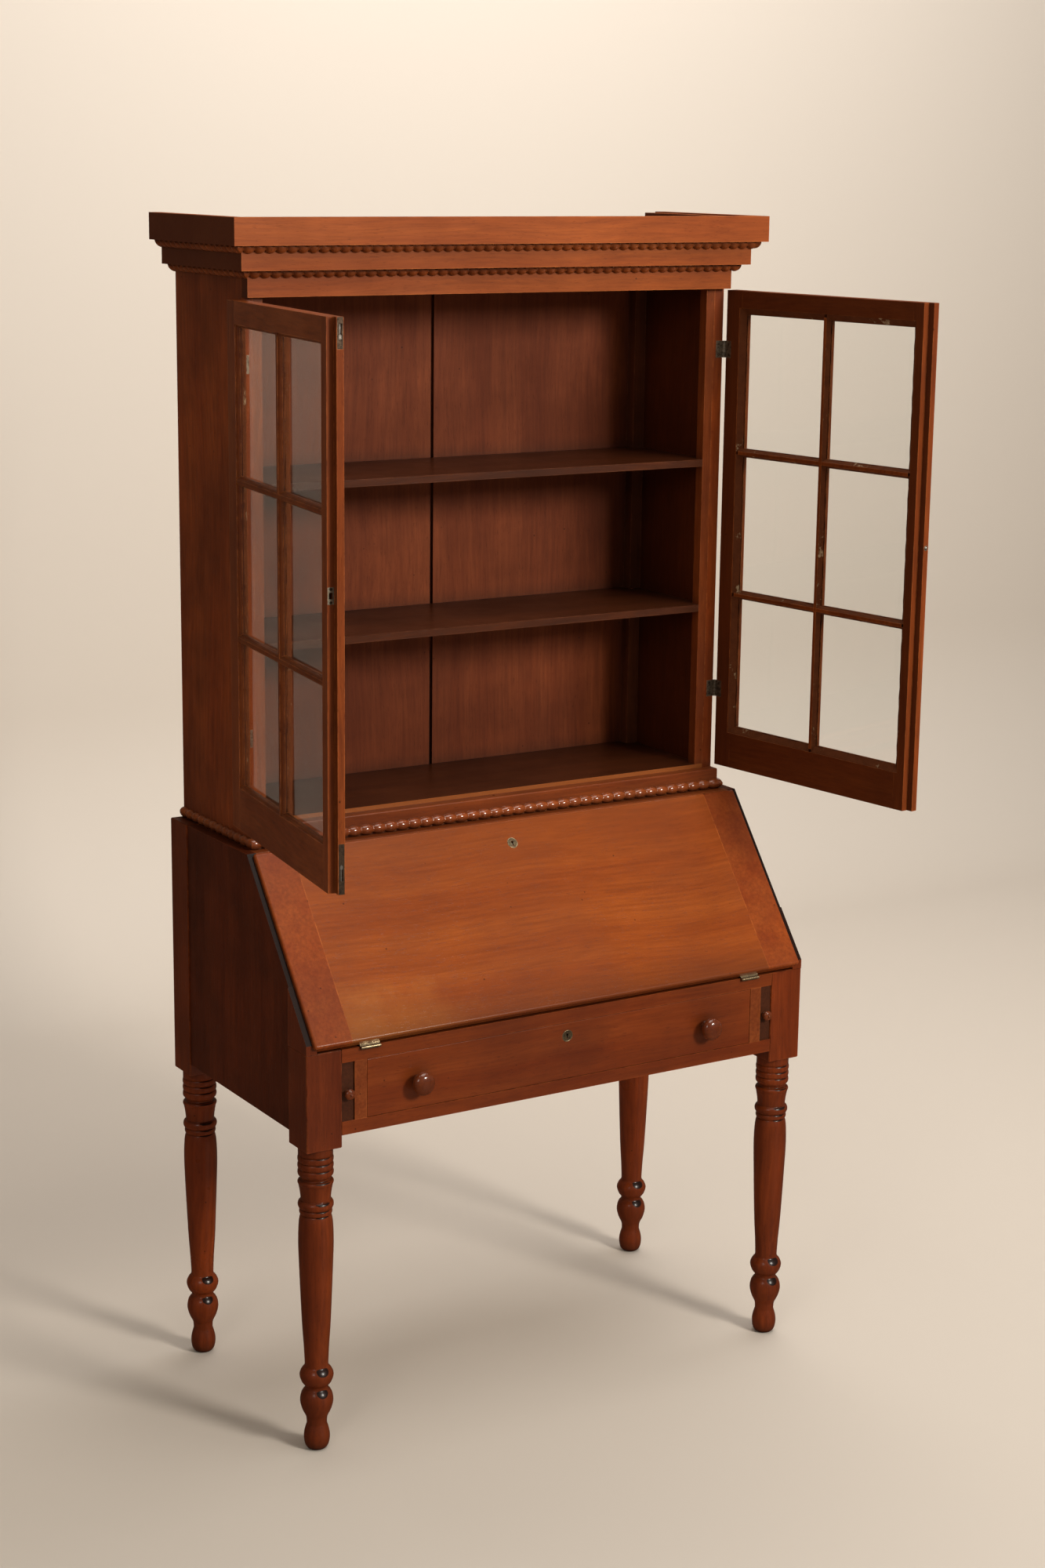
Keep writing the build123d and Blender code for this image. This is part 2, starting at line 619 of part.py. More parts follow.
for side, hand in ((-1, "left"), (1, "right")):
    outer_far = meet_far if side > 0 else meet_near
    inner_far = meet_near if side > 0 else meet_far

    # Stiles. Each is rabbeted for the glass, and the meeting stile is stepped to lap its neighbour.
    with BuildPart() as door_stiles:
        door_board(side, (edge_u, sight_u[0]), face_d, (door_bottom, door_top))
        door_board(side, (sight_u[0] - rabbet, sight_u[0] + 1), (face_d[0] - 1, half_d),
                   rabbet_z, mode=Mode.SUBTRACT)
        for z in door_hinge_z:
            door_board(side, (0, door_leaf[1] + 0.2), (0, leaf_face + door_leaf_t),
                       (z - door_leaf_half - 0.2, z + door_leaf_half + 0.2), mode=Mode.SUBTRACT)
        door_board(side, (sight_u[1], outer_far), (half_d, face_d[1]), (door_bottom, door_top))
        door_board(side, (sight_u[1], inner_far), (face_d[0], half_d), (door_bottom, door_top))
        door_board(side, (sight_u[1] - 1, sight_u[1] + rabbet), (face_d[0] - 1, half_d),
                   rabbet_z, mode=Mode.SUBTRACT)
        lap_face = (half_d - 1, half_d + lap_gap) if side > 0 else (half_d - lap_gap, half_d + 1)
        door_board(side, (meet_near, meet_far + 1), lap_face, (door_bottom - 1, door_top + 1),
                   mode=Mode.SUBTRACT)
        if side > 0:
            edge = door_plan(side, catch_z).from_local_coords((meet_far, catch_d, 0))
            inward = door_plan(side, 0).x_dir * -1
            round_bar(tuple(edge), tuple(inward), catch_r, 22, mode=Mode.SUBTRACT)
        else:
            strike = (catch_z - strike_half, catch_z + strike_half)
            door_board(side, (meet_near - 1.2, meet_near + 1), (half_d + 0.5, face_d[1] - 0.5),
                       strike, mode=Mode.SUBTRACT)
            door_board(side, (meet_near - 9, meet_near), (catch_d - 3, catch_d + 3),
                       (catch_z - 5, catch_z + 5), mode=Mode.SUBTRACT)
            for place, limits in plate_heights.items():
                door_board(side, (meet_far - plate_t, meet_far + 1), plate_d, limits,
                           mode=Mode.SUBTRACT)
                door_board(side, (bolt_u, meet_far), (bolt_d - slot_half, bolt_d + slot_half),
                           slot_reach[place], mode=Mode.SUBTRACT)
            door_rod(side, bolt_u, bolt_d, (door_top - 78, door_top), bolt_r + 0.4,
                     mode=Mode.SUBTRACT)
            door_rod(side, bolt_u, bolt_d, (door_bottom, door_bottom + 110), bolt_r + 0.4,
                     mode=Mode.SUBTRACT)
    save(door_stiles, f"{hand}_door_stiles")

    # Top and bottom rails, rabbeted like the stiles.
    with BuildPart() as door_rails:
        for limits, inner in (((sight_z[1], door_top), (sight_z[1] - 1, sight_z[1] + rabbet)),
                              ((door_bottom, sight_z[0]), (sight_z[0] - rabbet, sight_z[0] + 1))):
            door_board(side, sight_u, face_d, limits)
            door_board(side, sight_u, (face_d[0] - 1, half_d), inner, mode=Mode.SUBTRACT)
    save(door_rails, f"{hand}_door_rails")

    # Glazing bars: one upright and two across, a wide bar in front and a thin rib between panes.
    with BuildPart() as glazing_bars:
        for width, depth in ((bar_w, (half_d, face_d[1])), (rib_w, (face_d[0] + 0.6, half_d))):
            door_board(side, (bar_u - width / 2, bar_u + width / 2), depth, sight_z)
            for z in bar_z:
                door_board(side, sight_u, depth, (z - width / 2, z + width / 2))
    save(glazing_bars, f"{hand}_glazing_bars")

    # Six panes, held in the rabbets.
    with BuildPart() as panes:
        columns = ((sight_u[0] - rabbet + 0.5, bar_u - rib_w / 2 - 0.3),
                   (bar_u + rib_w / 2 + 0.3, sight_u[1] + rabbet - 0.5))
        edges_z = [rabbet_z[0] + 0.5, bar_z[0], bar_z[1], rabbet_z[1] - 0.5]
        for row in range(3):
            low = edges_z[row] + (rib_w / 2 + 0.3 if row > 0 else 0)
            high = edges_z[row + 1] - (rib_w / 2 + 0.3 if row < 2 else 0)
            for column in columns:
                door_board(side, column, (half_d - glass_t, half_d), (low, high))
    save(panes, f"{hand}_door_panes")

    # Door halves of the hinges: leaf and two bored knuckles.
    with BuildPart() as door_hinges:
        pitch = 2 * door_leaf_half / knuckles
        for z in door_hinge_z:
            low = z - door_leaf_half
            leaf_d = (leaf_face, leaf_face + door_leaf_t)
            door_board(side, door_leaf, leaf_d, (low, z + door_leaf_half))
            for number in range(1, knuckles, 2):
                tab = low + number * pitch
                door_board(side, (pin_r + 0.5, door_leaf[0]), leaf_d,
                           (tab + 0.2, tab + pitch - 0.2))
            knuckle_row((side * hinge_x, hinge_y, low), (0, 0, 1), 2 * door_leaf_half, 1,
                        bored=True)
    save(door_hinges, f"{hand}_door_hinges")

# Strike plate on the left door's edge, with a square hole for the ball.
with BuildPart() as strike_plate:
    door_board(-1, (meet_near - 1.2, meet_near), (half_d + 0.7, face_d[1] - 0.7),
               (catch_z - strike_half + 0.2, catch_z + strike_half - 0.2))
    door_board(-1, (meet_near - 2, meet_near + 1), (catch_d - 3, catch_d + 3),
               (catch_z - 5, catch_z + 5), mode=Mode.SUBTRACT)
save(strike_plate, "strike_plate")

# Bullet catch in the right door's edge: a barrel and the ball that it holds.
catch_mouth = door_plan(1, catch_z).from_local_coords((meet_far, catch_d, 0))
catch_in = tuple(door_plan(1, 0).x_dir * -1)
with BuildPart() as catch_barrel:
    round_bar(tuple(catch_mouth), catch_in, catch_r, 21.8)
    round_bar(tuple(catch_mouth), catch_in, ball_r + 0.05, 18, mode=Mode.SUBTRACT)
save(catch_barrel, "catch_barrel")

with BuildPart() as catch_ball:
    with Locations(catch_mouth + Vector(*catch_in) * 1.25):
        Sphere(ball_r)
save(catch_ball, "catch_ball")

# Flush bolts in the left door's edge: two slotted plates, each over a sliding bolt.
with BuildPart() as flush_bolt_plates:
    for place, limits in plate_heights.items():
        door_board(-1, (meet_far - plate_t, meet_far), (plate_d[0] + 0.1, plate_d[1] - 0.1),
                   (limits[0] + 0.1, limits[1] - 0.1))
        door_board(-1, (meet_far - plate_t - 1, meet_far + 1),
                   (bolt_d - slot_half, bolt_d + slot_half), slot_reach[place],
                   mode=Mode.SUBTRACT)
save(flush_bolt_plates, "flush_bolt_plates")

tab_z = {"upper": door_top - 30, "lower": door_bottom + 44}
rod_z = {"upper": (door_top - 64, door_top - 1), "lower": (door_bottom + 1.5, door_bottom + 96)}
for place in ("upper", "lower"):
    with BuildPart() as flush_bolt:
        door_rod(-1, bolt_u, bolt_d, rod_z[place], bolt_r)
        door_board(-1, (bolt_u, meet_far - 0.2), (bolt_d - 2.1, bolt_d + 2.1),
                   (tab_z[place] - 3, tab_z[place] + 3))
    save(flush_bolt, f"{place}_flush_bolt")

# ================================================================== FALL
fall_half = 508.5
fall_board_half = 437.0
fall_inner_half = panel_in - 0.7
lip_under = 0.3
tongue = 9.0
tongue_v = (-4.0, 2.0)
fall_edge_r = 4.5


def fall_prism(u_range, v_range, x_range, mode=Mode.ADD):
    """Add, or cut, a board lying along the slope."""
    corners = [(u_range[0], v_range[0]), (u_range[1], v_range[0]),
               (u_range[1], v_range[1]), (u_range[0], v_range[1])]
    profile_board([slope(u, v) for u, v in corners], x_range, mode=mode)


# Lock: a round keyhole plate outside and the lock's case inside.
lock_x = -4.0
lock_u = 310.0
lock_half = 30.0
lock_case_u = (lock_u - 14, lock_u + 26)
lock_case_v = (fall_in_v, fall_in_v + 9)
plate_r = 10.5
slope_out = (0, -sin(alpha), cos(alpha))


def keyhole_plate(centre, outward, up, radius, thickness):
    """A round keyhole plate whose outer face is at centre."""
    face = Plane(origin=centre, z_dir=outward, x_dir=Vector(*up).cross(Vector(*outward)))
    with BuildSketch(face) as plate:
        Circle(radius)
        with Locations((0, 2)):
            Circle(2.4, mode=Mode.SUBTRACT)
        with Locations((0, -2)):
            Rectangle(2.2, 8, mode=Mode.SUBTRACT)
    extrude(plate.sketch, amount=-thickness)


def slope_point(x, u, v):
    y, z = slope(u, v)
    return (x, front + y, z)


with BuildPart() as fall_board:
    fall_prism((fall_bottom_u, fall_lip_u), (lip_under, lip_v), (-fall_board_half, fall_board_half))
    fall_prism((fall_bottom_u, fall_top_u - 0.4), (fall_in_v, lip_under),
               (-fall_board_half, fall_board_half))
    long_edges = fall_board.edges().filter_by(Axis.X)
    fillet(long_edges.sort_by_distance(slope_point(0, fall_bottom_u, lip_v))[0], radius=fall_edge_r)
    long_edges = fall_board.edges().filter_by(Axis.X)
    fillet(long_edges.sort_by_distance(slope_point(0, fall_lip_u, lip_v))[0], radius=fall_edge_r)
    fall_prism((fall_bottom_u, fall_top_u - 6), tongue_v,
               (-fall_board_half - tongue, fall_board_half + tongue))
    for side in (-1, 1):
        centre = side * fall_hinge_x
        fall_prism((fall_bottom_u - 1, 14.2), (fall_in_v - 1, fall_in_v + leaf_t),
                   (centre - fall_hinge_half - 0.2, centre + fall_hinge_half + 0.2),
                   mode=Mode.SUBTRACT)
    fall_prism(lock_case_u, (fall_in_v - 1, lock_case_v[1]), (lock_x - lock_half, lock_x + lock_half),
               mode=Mode.SUBTRACT)
    round_bar(slope_point(lock_x, lock_u, lip_v), tuple(Vector(*slope_out) * -1), plate_r, 1.2,
              mode=Mode.SUBTRACT)
    round_bar(slope_point(lock_x, lock_u, lip_v), tuple(Vector(*slope_out) * -1), 4, 9,
              mode=Mode.SUBTRACT)
save(fall_board, "fall_board")

# End boards across the grain, grooved for the main board's tongues and lipped over the sides.
with BuildPart() as fall_end_boards:
    fall_prism((fall_bottom_u, fall_lip_u), (lip_under, lip_v), (fall_board_half, fall_half))
    fall_prism((fall_bottom_u, fall_top_u - 0.4), (fall_in_v, lip_under),
               (fall_board_half, fall_inner_half))
    for u in (fall_bottom_u, fall_lip_u):
        edge = fall_end_boards.edges().filter_by(Axis.X)
        fillet(edge.sort_by_distance(slope_point(mid((fall_board_half, fall_half)), u, lip_v))[0],
               radius=fall_edge_r)
    outer = fall_end_boards.edges().sort_by_distance(slope_point(fall_half, 170, lip_v))[0]
    fillet(outer, radius=fall_edge_r)
    fall_prism((fall_bottom_u - 1, fall_top_u - 5.8), tongue_v,
               (fall_board_half - 1, fall_board_half + tongue + 0.2), mode=Mode.SUBTRACT)
    mirror(about=Plane.YZ)
save(fall_end_boards, "fall_end_boards")

with BuildPart() as fall_hinges:
    pitch = 2 * fall_hinge_half / knuckles
    leaf_v = (fall_in_v, fall_in_v + leaf_t)
    for side in (-1, 1):
        left = side * fall_hinge_x - fall_hinge_half
        fall_prism((pin_u + 3.4, 14), leaf_v, (left, left + 2 * fall_hinge_half))
        for number in range(1, knuckles, 2):
            tab = left + number * pitch
            fall_prism((pin_u + pin_r + 0.5, pin_u + 3.4), leaf_v, (tab + 0.2, tab + pitch - 0.2))
        knuckle_row((left, front + fall_pin_y, fall_pin_z), (1, 0, 0), 2 * fall_hinge_half, 1,
                    bored=True)
save(fall_hinges, "fall_hinges")

with BuildPart() as fall_lock:
    fall_prism(lock_case_u, lock_case_v, (lock_x - lock_half, lock_x + lock_half))
    keyhole_plate(slope_point(lock_x, lock_u, lip_v), slope_out, (0, cos(alpha), sin(alpha)),
                  plate_r, 1.2)
save(fall_lock, "fall_lock")

# ================================================================== DRAWER
drawer_half = partition_in - 0.6
drawer_z = (drawer_low + gap, drawer_high - 0.6)
drawer_side_top = 700.0
drawer_end = 470.0
knob_x = 304.0
knob_z = 655.0
knob_r = 21.0
knob_h = 32.0
drawer_lock_x = 1.0
drawer_lock_z = 686.0
with BuildPart() as drawer_front:
    board((-drawer_half, drawer_half), (0, 22), drawer_z)
    front_edges = drawer_front.faces().sort_by(Axis.Y)[0].edges()
    fillet(front_edges, radius=1.2)
    for x in (-knob_x, knob_x):
        round_bar((x, front + 22, knob_z), (0, -1, 0), 7.2, 23, mode=Mode.SUBTRACT)
    round_bar((drawer_lock_x, front, drawer_lock_z), (0, 1, 0), 11, 1.2, mode=Mode.SUBTRACT)
    round_bar((drawer_lock_x, front, drawer_lock_z), (0, 1, 0), 4, 22, mode=Mode.SUBTRACT)
save(drawer_front, "drawer_front")

# Sides, back and bottom of the drawer.
with BuildPart() as drawer_box:
    for side in (-1, 1):
        board(outer_x(side, drawer_half - 12.5, drawer_half - 0.5), (22, drawer_end),
              (drawer_z[0], drawer_side_top))
    inner = drawer_half - 12.5 - joint
    board((-inner, inner), (drawer_end - 12, drawer_end), (drawer_z[0] + 12, drawer_side_top))
    board((-inner, inner), (22, drawer_end), (drawer_z[0] + 5, drawer_z[0] + 12 - joint))
save(drawer_box, "drawer_box")

with BuildPart() as drawer_knobs:
    for x in (-knob_x, knob_x):
        turned_knob(x, 0, knob_z, knob_r, knob_h, 9, 22)
save(drawer_knobs, "drawer_knobs")

with BuildPart() as drawer_lock:
    board((drawer_lock_x - 30, drawer_lock_x + 30), (22, 34), (drawer_lock_z - 18, drawer_lock_z + 18))
    keyhole_plate((drawer_lock_x, front, drawer_lock_z), (0, -1, 0), (0, 0, 1), 11, 1.2)
save(drawer_lock, "drawer_lock")

# ================================================================== LOPERS
loper_face = 3.0
loper_end = 430.0
loper_knob_z = 655.0
for side, hand in ((-1, "left"), (1, "right")):
    limits = outer_x(side, partition_out + gap, post_in - gap)
    with BuildPart() as loper:
        board(limits, (loper_face, loper_end), (drawer_low + 0.3, drawer_high - 0.4))
        round_bar((mid(limits), front + loper_face, loper_knob_z), (0, 1, 0), 4, 12,
                  mode=Mode.SUBTRACT)
    save(loper, f"{hand}_loper")
    with BuildPart() as loper_knob:
        turned_knob(mid(limits), loper_face, loper_knob_z, 9.5, 17, 5, 12)
    save(loper_knob, f"{hand}_loper_knob")

print("front of the desk at y", round(front, 3), "back", round(back, 3))
print("slope", round(degrees(alpha), 3), "length", round(hypot(slant_run, desk_top_z - slant_low_z), 2))
print("fall pin", round(front + fall_pin_y, 3), round(fall_pin_z, 3), "door pin", hinge_x, round(hinge_y, 3))
print("catch inwards", [round(value, 5) for value in catch_in], "door bolt", round(bolt_x, 2))
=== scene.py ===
import json
from math import atan2, cos, pi, radians, sin

import bmesh
import bpy
from mathutils import Matrix, Vector


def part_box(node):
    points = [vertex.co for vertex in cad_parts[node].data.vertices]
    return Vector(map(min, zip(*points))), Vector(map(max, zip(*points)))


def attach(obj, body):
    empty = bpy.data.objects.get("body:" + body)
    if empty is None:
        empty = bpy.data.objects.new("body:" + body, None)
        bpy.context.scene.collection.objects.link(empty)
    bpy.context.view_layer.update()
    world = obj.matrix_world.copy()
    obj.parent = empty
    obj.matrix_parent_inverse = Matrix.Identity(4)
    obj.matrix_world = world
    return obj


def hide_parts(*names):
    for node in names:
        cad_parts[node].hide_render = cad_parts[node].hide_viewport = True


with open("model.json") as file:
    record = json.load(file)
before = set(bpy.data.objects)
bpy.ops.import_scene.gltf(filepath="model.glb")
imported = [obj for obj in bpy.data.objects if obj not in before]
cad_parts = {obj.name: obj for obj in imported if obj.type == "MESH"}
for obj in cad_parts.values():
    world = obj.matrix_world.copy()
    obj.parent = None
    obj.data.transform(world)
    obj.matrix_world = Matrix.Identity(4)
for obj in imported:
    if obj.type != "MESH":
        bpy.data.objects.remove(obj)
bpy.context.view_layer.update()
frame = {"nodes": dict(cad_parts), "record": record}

# ---------------------------------------------------------------- camera
# Stands left of the desk and above the writing height, looking down a little.
camera_data = bpy.data.cameras.new("camera")
camera_data.sensor_fit = "VERTICAL"
camera_data.sensor_height = 36.0
camera_data.lens = 62.94
camera = bpy.data.objects.new("camera", camera_data)
bpy.context.scene.collection.objects.link(camera)
bpy.context.scene.camera = camera
turn, dip, lean = radians(31.92), radians(13.01), radians(0.72)
look = Vector((sin(turn) * cos(dip), cos(turn) * cos(dip), -sin(dip)))
level = Vector((cos(turn), -sin(turn), 0))
upward = level.cross(look)
camera_x = level * cos(lean) + upward * sin(lean)
camera_y = upward * cos(lean) - level * sin(lean)
stand = Matrix((camera_x, camera_y, -look)).transposed().to_4x4()
stand.translation = Vector((-2.531, -4.056, 2.2195))
camera.matrix_world = stand

# ---------------------------------------------------------------- room
# A pale plain floor that curves up into a pale wall. The main light is broad and stands in front,
# to the right. Weaker ones fill from the left and above, and one lights the wall.


def principled(material):
    """Give a material a fresh Principled shader and return its tree and shader."""
    material.use_nodes = True
    tree = material.node_tree
    tree.nodes.clear()
    shader = tree.nodes.new("ShaderNodeBsdfPrincipled")
    output = tree.nodes.new("ShaderNodeOutputMaterial")
    tree.links.new(shader.outputs[0], output.inputs[0])
    return tree, shader


def node(tree, kind, settings=(), **values):
    """Add a node, set its properties, and set or link its inputs by name."""
    new = tree.nodes.new(kind)
    for key, value in dict(settings).items():
        setattr(new, key, value)
    for key, value in values.items():
        name = key.replace("_", " ").strip()
        socket = new.inputs[int(name[1:])] if name[0] == "i" and name[1:].isdigit() else new.inputs[name]
        if isinstance(value, bpy.types.NodeSocket):
            tree.links.new(value, socket)
        else:
            socket.default_value = value
    return new


def math(tree, operation, a, b=0.0, clamp=False):
    """One Math node's result."""
    return node(tree, "ShaderNodeMath", {"operation": operation, "use_clamp": clamp}, i0=a, i1=b).outputs[0]


def blend(tree, factor, a, b, how="MIX"):
    """Mix two colours."""
    mix = tree.nodes.new("ShaderNodeMix")
    mix.data_type = "RGBA"
    mix.blend_type = how
    for socket, value in ((mix.inputs[0], factor), (mix.inputs[6], a), (mix.inputs[7], b)):
        if isinstance(value, bpy.types.NodeSocket):
            tree.links.new(value, socket)
        else:
            socket.default_value = (*value[:3], 1.0) if socket.type == "RGBA" else value
    return mix.outputs[2]


floor_mesh = bpy.data.meshes.new("floor")
floor_shape = bmesh.new()
bend_start, bend_radius, half_width = 2.2, 0.7, 9.0
floor_line = [(-6.0, 0.0), (bend_start, 0.0)]
floor_line += [(bend_start + bend_radius * sin(step * pi / 24), bend_radius - bend_radius * cos(step * pi / 24))
               for step in range(1, 13)]
floor_line += [(2.9, 6.0)]
rows = [[floor_shape.verts.new((side, y, z)) for side in (-half_width, half_width)] for y, z in floor_line]
for near, far in zip(rows, rows[1:]):
    floor_shape.faces.new((near[0], near[1], far[1], far[0]))
floor_shape.to_mesh(floor_mesh)
floor_mesh.shade_smooth()
floor = bpy.data.objects.new("floor", floor_mesh)
bpy.context.scene.collection.objects.link(floor)
floor_paint = bpy.data.materials.new("floor_paint")
tree, shader = principled(floor_paint)
# Painted reflection: glossy rays see the floor painted dark, standing in for a dim room behind the camera, so
# polished wood mirrors little of it.
path = tree.nodes.new("ShaderNodeLightPath").outputs
seen_through = math(tree, "MAXIMUM", path["Is Transmission Ray"], path["Is Camera Ray"])
painted_dark_reflection = math(tree, "MULTIPLY", path["Is Glossy Ray"], math(tree, "SUBTRACT", 1.0, seen_through))
tree.links.new(blend(tree, painted_dark_reflection, (0.66, 0.60, 0.53), (0.07, 0.055, 0.04)), shader.inputs["Base Color"])
shader.inputs["Roughness"].default_value = 0.6
shader.inputs["Specular IOR Level"].default_value = 0.2
# The backdrop is open to anyone looking from behind it.
behind = tree.nodes.new("ShaderNodeNewGeometry").outputs["Backfacing"]
tree.links.new(math(tree, "SUBTRACT", 1.0, behind), shader.inputs["Alpha"])
floor_mesh.materials.append(floor_paint)

world = bpy.data.worlds.new("room")
world.use_nodes = True
glow = world.node_tree.nodes["Background"]
glow.inputs[0].default_value = (1.0, 0.92, 0.83, 1)
glow.inputs[1].default_value = 0.14
bpy.context.scene.view_settings.view_transform = "Standard"
bpy.context.scene.world = world
for name, place, aim, size, power, tint in (
        ("key_light", (1.7, -4.8, 3.3), (0, 0, 1.1), 1.3, 215, (1.0, 0.93, 0.84)),
        ("left_light", (-3.8, -3.0, 3.2), (0, 0, 1.2), 1.6, 27, (1.0, 0.94, 0.86)),
        ("ceiling_light", (0.3, -0.9, 4.6), (0, 0.2, 0), 2.6, 60, (1.0, 0.95, 0.88)),
        ("wall_light", (1.7, 1.0, 4.5), (1.9, 3.4, 1.7), 3.4, 112, (1.0, 0.965, 0.935))):
    lamp = bpy.data.lights.new(name, "AREA")
    lamp.shape = "DISK"
    lamp.size = size
    lamp.energy = power
    lamp.color = tint
    holder = bpy.data.objects.new(name, lamp)
    bpy.context.scene.collection.objects.link(holder)
    holder.matrix_world = (Vector(aim) - Vector(place)).to_track_quat("-Z", "Y").to_matrix().to_4x4()
    holder.matrix_world.translation = Vector(place)

# ---------------------------------------------------------------- woods
# Cherry and other native woods under old red shellac: long fine grain, slow figure across the
# board, small dark pores, hollows darkened partly by soil and partly as painted shade, and edges rubbed pale.


def group(name, inputs, outputs):
    """Start a shader node group with named sockets."""
    tree = bpy.data.node_groups.new(name, "ShaderNodeTree")
    kinds = {"c": "NodeSocketColor", "f": "NodeSocketFloat", "v": "NodeSocketVector"}
    for title, kind, value in inputs:
        socket = tree.interface.new_socket(title, in_out="INPUT", socket_type=kinds[kind])
        if value is not None:
            socket.default_value = value
    for title, kind in outputs:
        tree.interface.new_socket(title, in_out="OUTPUT", socket_type=kinds[kind])
    return tree, tree.nodes.new("NodeGroupInput").outputs, tree.nodes.new("NodeGroupOutput").inputs


tree, given, result = group(
    "shellacked wood",
    [("Vector", "v", None), ("Dark", "c", (0.1, 0.03, 0.01, 1)), ("Mid", "c", (0.2, 0.07, 0.03, 1)),
     ("Light", "c", (0.4, 0.16, 0.06, 1)), ("Figure", "f", 0.5), ("Grain", "f", 0.5), ("Blotch", "f", 0.4),
     ("Knots", "f", 0.0)],
    [("Color", "c"), ("Roughness", "f"), ("Height", "f")])
# The grain runs along the incoming vector's Z.
warp = node(tree, "ShaderNodeTexNoise", Vector=given["Vector"], Scale=1.3, Detail=2.0)
warped = node(tree, "ShaderNodeVectorMath", {"operation": "MULTIPLY_ADD"}, i0=warp.outputs["Color"],
              i1=(0.09, 0.09, 0.0), i2=given["Vector"]).outputs[0]
long = node(tree, "ShaderNodeMapping", Vector=warped, Scale=(1.0, 1.0, 0.045)).outputs[0]
figure = node(tree, "ShaderNodeTexNoise", Vector=long, Scale=22.0, Detail=4.0, Roughness=0.55).outputs["Fac"]
fine = node(tree, "ShaderNodeTexNoise", Vector=long, Scale=170.0, Detail=5.0, Roughness=0.65).outputs["Fac"]
pore_space = node(tree, "ShaderNodeMapping", Vector=warped, Scale=(1.0, 1.0, 0.12)).outputs[0]
pores = node(tree, "ShaderNodeTexNoise", Vector=pore_space, Scale=620.0, Detail=1.0).outputs["Fac"]
blotch = node(tree, "ShaderNodeTexNoise", Vector=given["Vector"], Scale=4.2, Detail=4.0,
              Roughness=0.6).outputs["Fac"]
knot_space = node(tree, "ShaderNodeMapping", Vector=warped, Scale=(1.0, 1.0, 0.4)).outputs[0]
knot = node(tree, "ShaderNodeTexVoronoi", Vector=knot_space, Scale=4.0).outputs["Distance"]
knot = node(tree, "ShaderNodeMapRange", i0=knot, i1=0.02, i2=0.22, i3=1.0, i4=0.0).outputs[0]
figure = node(tree, "ShaderNodeMapRange", i0=figure, i1=0.34, i2=0.66).outputs[0]
fine = node(tree, "ShaderNodeMapRange", i0=fine, i1=0.3, i2=0.7).outputs[0]
blotch = node(tree, "ShaderNodeMapRange", i0=blotch, i1=0.36, i2=0.66).outputs[0]
pore = node(tree, "ShaderNodeMapRange", i0=pores, i1=0.64, i2=0.72).outputs[0]
tone = blend(tree, math(tree, "MULTIPLY", figure, given["Figure"]), given["Mid"], given["Light"])
coarse = math(tree, "SUBTRACT", 1.0, fine)
tone = blend(tree, math(tree, "MULTIPLY", coarse, given["Grain"]), tone, given["Dark"])
tone = blend(tree, math(tree, "MULTIPLY", blotch, given["Blotch"]), tone, given["Dark"])
tone = blend(tree, math(tree, "MULTIPLY", pore, 0.35), tone, given["Dark"])
tone = blend(tree, math(tree, "MULTIPLY", knot, given["Knots"]), tone, given["Dark"])
specks = node(tree, "ShaderNodeTexVoronoi", Vector=given["Vector"], Scale=24.0).outputs["Distance"]
specks = node(tree, "ShaderNodeMapRange", i0=specks, i1=0.025, i2=0.05, i3=0.7, i4=0.0).outputs[0]
tone = blend(tree, specks, tone, (0.02, 0.007, 0.003))
# Old shellac over it all is a warm red-brown.
tone = blend(tree, 1.0, tone, (1.0, 0.86, 0.72), "MULTIPLY")
tree.links.new(tone, result["Color"])
tree.links.new(math(tree, "MULTIPLY", blotch, 0.12), result["Roughness"])
height = math(tree, "SUBTRACT", math(tree, "MULTIPLY", fine, 0.35), math(tree, "MULTIPLY", pore, 0.8))
tree.links.new(height, result["Height"])
wood_group = tree

# Rubbed edges, found by rounding the normal near an edge, and hollows darkened by ambient occlusion: partly soil,
# partly painted shade.
tree, given, result = group(
    "handled edges and shaded hollows",
    [("Color", "c", None), ("Worn", "c", (0.5, 0.2, 0.08, 1)), ("SoilShade", "c", (0.02, 0.01, 0.006, 1)),
     ("Wear", "f", 0.5), ("Dirt", "f", 0.6), ("Breadth", "f", 0.0025)],
    [("Color", "c"), ("Edge", "f")])
space = node(tree, "ShaderNodeTexCoord").outputs["Object"]
rounded = node(tree, "ShaderNodeBevel", {"samples": 4}, Radius=given["Breadth"]).outputs[0]
flat = node(tree, "ShaderNodeNewGeometry").outputs["Normal"]
sharp = node(tree, "ShaderNodeVectorMath", {"operation": "DOT_PRODUCT"}, i0=rounded, i1=flat).outputs["Value"]
sharp = math(tree, "MULTIPLY", math(tree, "SUBTRACT", 1.0, sharp), 5.0, clamp=True)
patchy = node(tree, "ShaderNodeTexNoise", Vector=space, Scale=38.0, Detail=4.0, Roughness=0.7).outputs["Fac"]
patchy = node(tree, "ShaderNodeMapRange", i0=patchy, i1=0.38, i2=0.62).outputs[0]
edge = math(tree, "MULTIPLY", math(tree, "MULTIPLY", sharp, patchy), given["Wear"])
# Painted shade, partly soil: where ambient occlusion finds a hollow, the colour darkens.
hollow_shade = node(tree, "ShaderNodeAmbientOcclusion", {"samples": 6, "only_local": False},
              Distance=0.03).outputs["AO"]
hollow_shade = math(tree, "MULTIPLY", math(tree, "SUBTRACT", 1.0, hollow_shade, clamp=True), given["Dirt"])
tone = blend(tree, hollow_shade, given["Color"], given["SoilShade"])
tone = blend(tree, edge, tone, given["Worn"])
tree.links.new(tone, result["Color"])
tree.links.new(edge, result["Edge"])
edge_group = tree

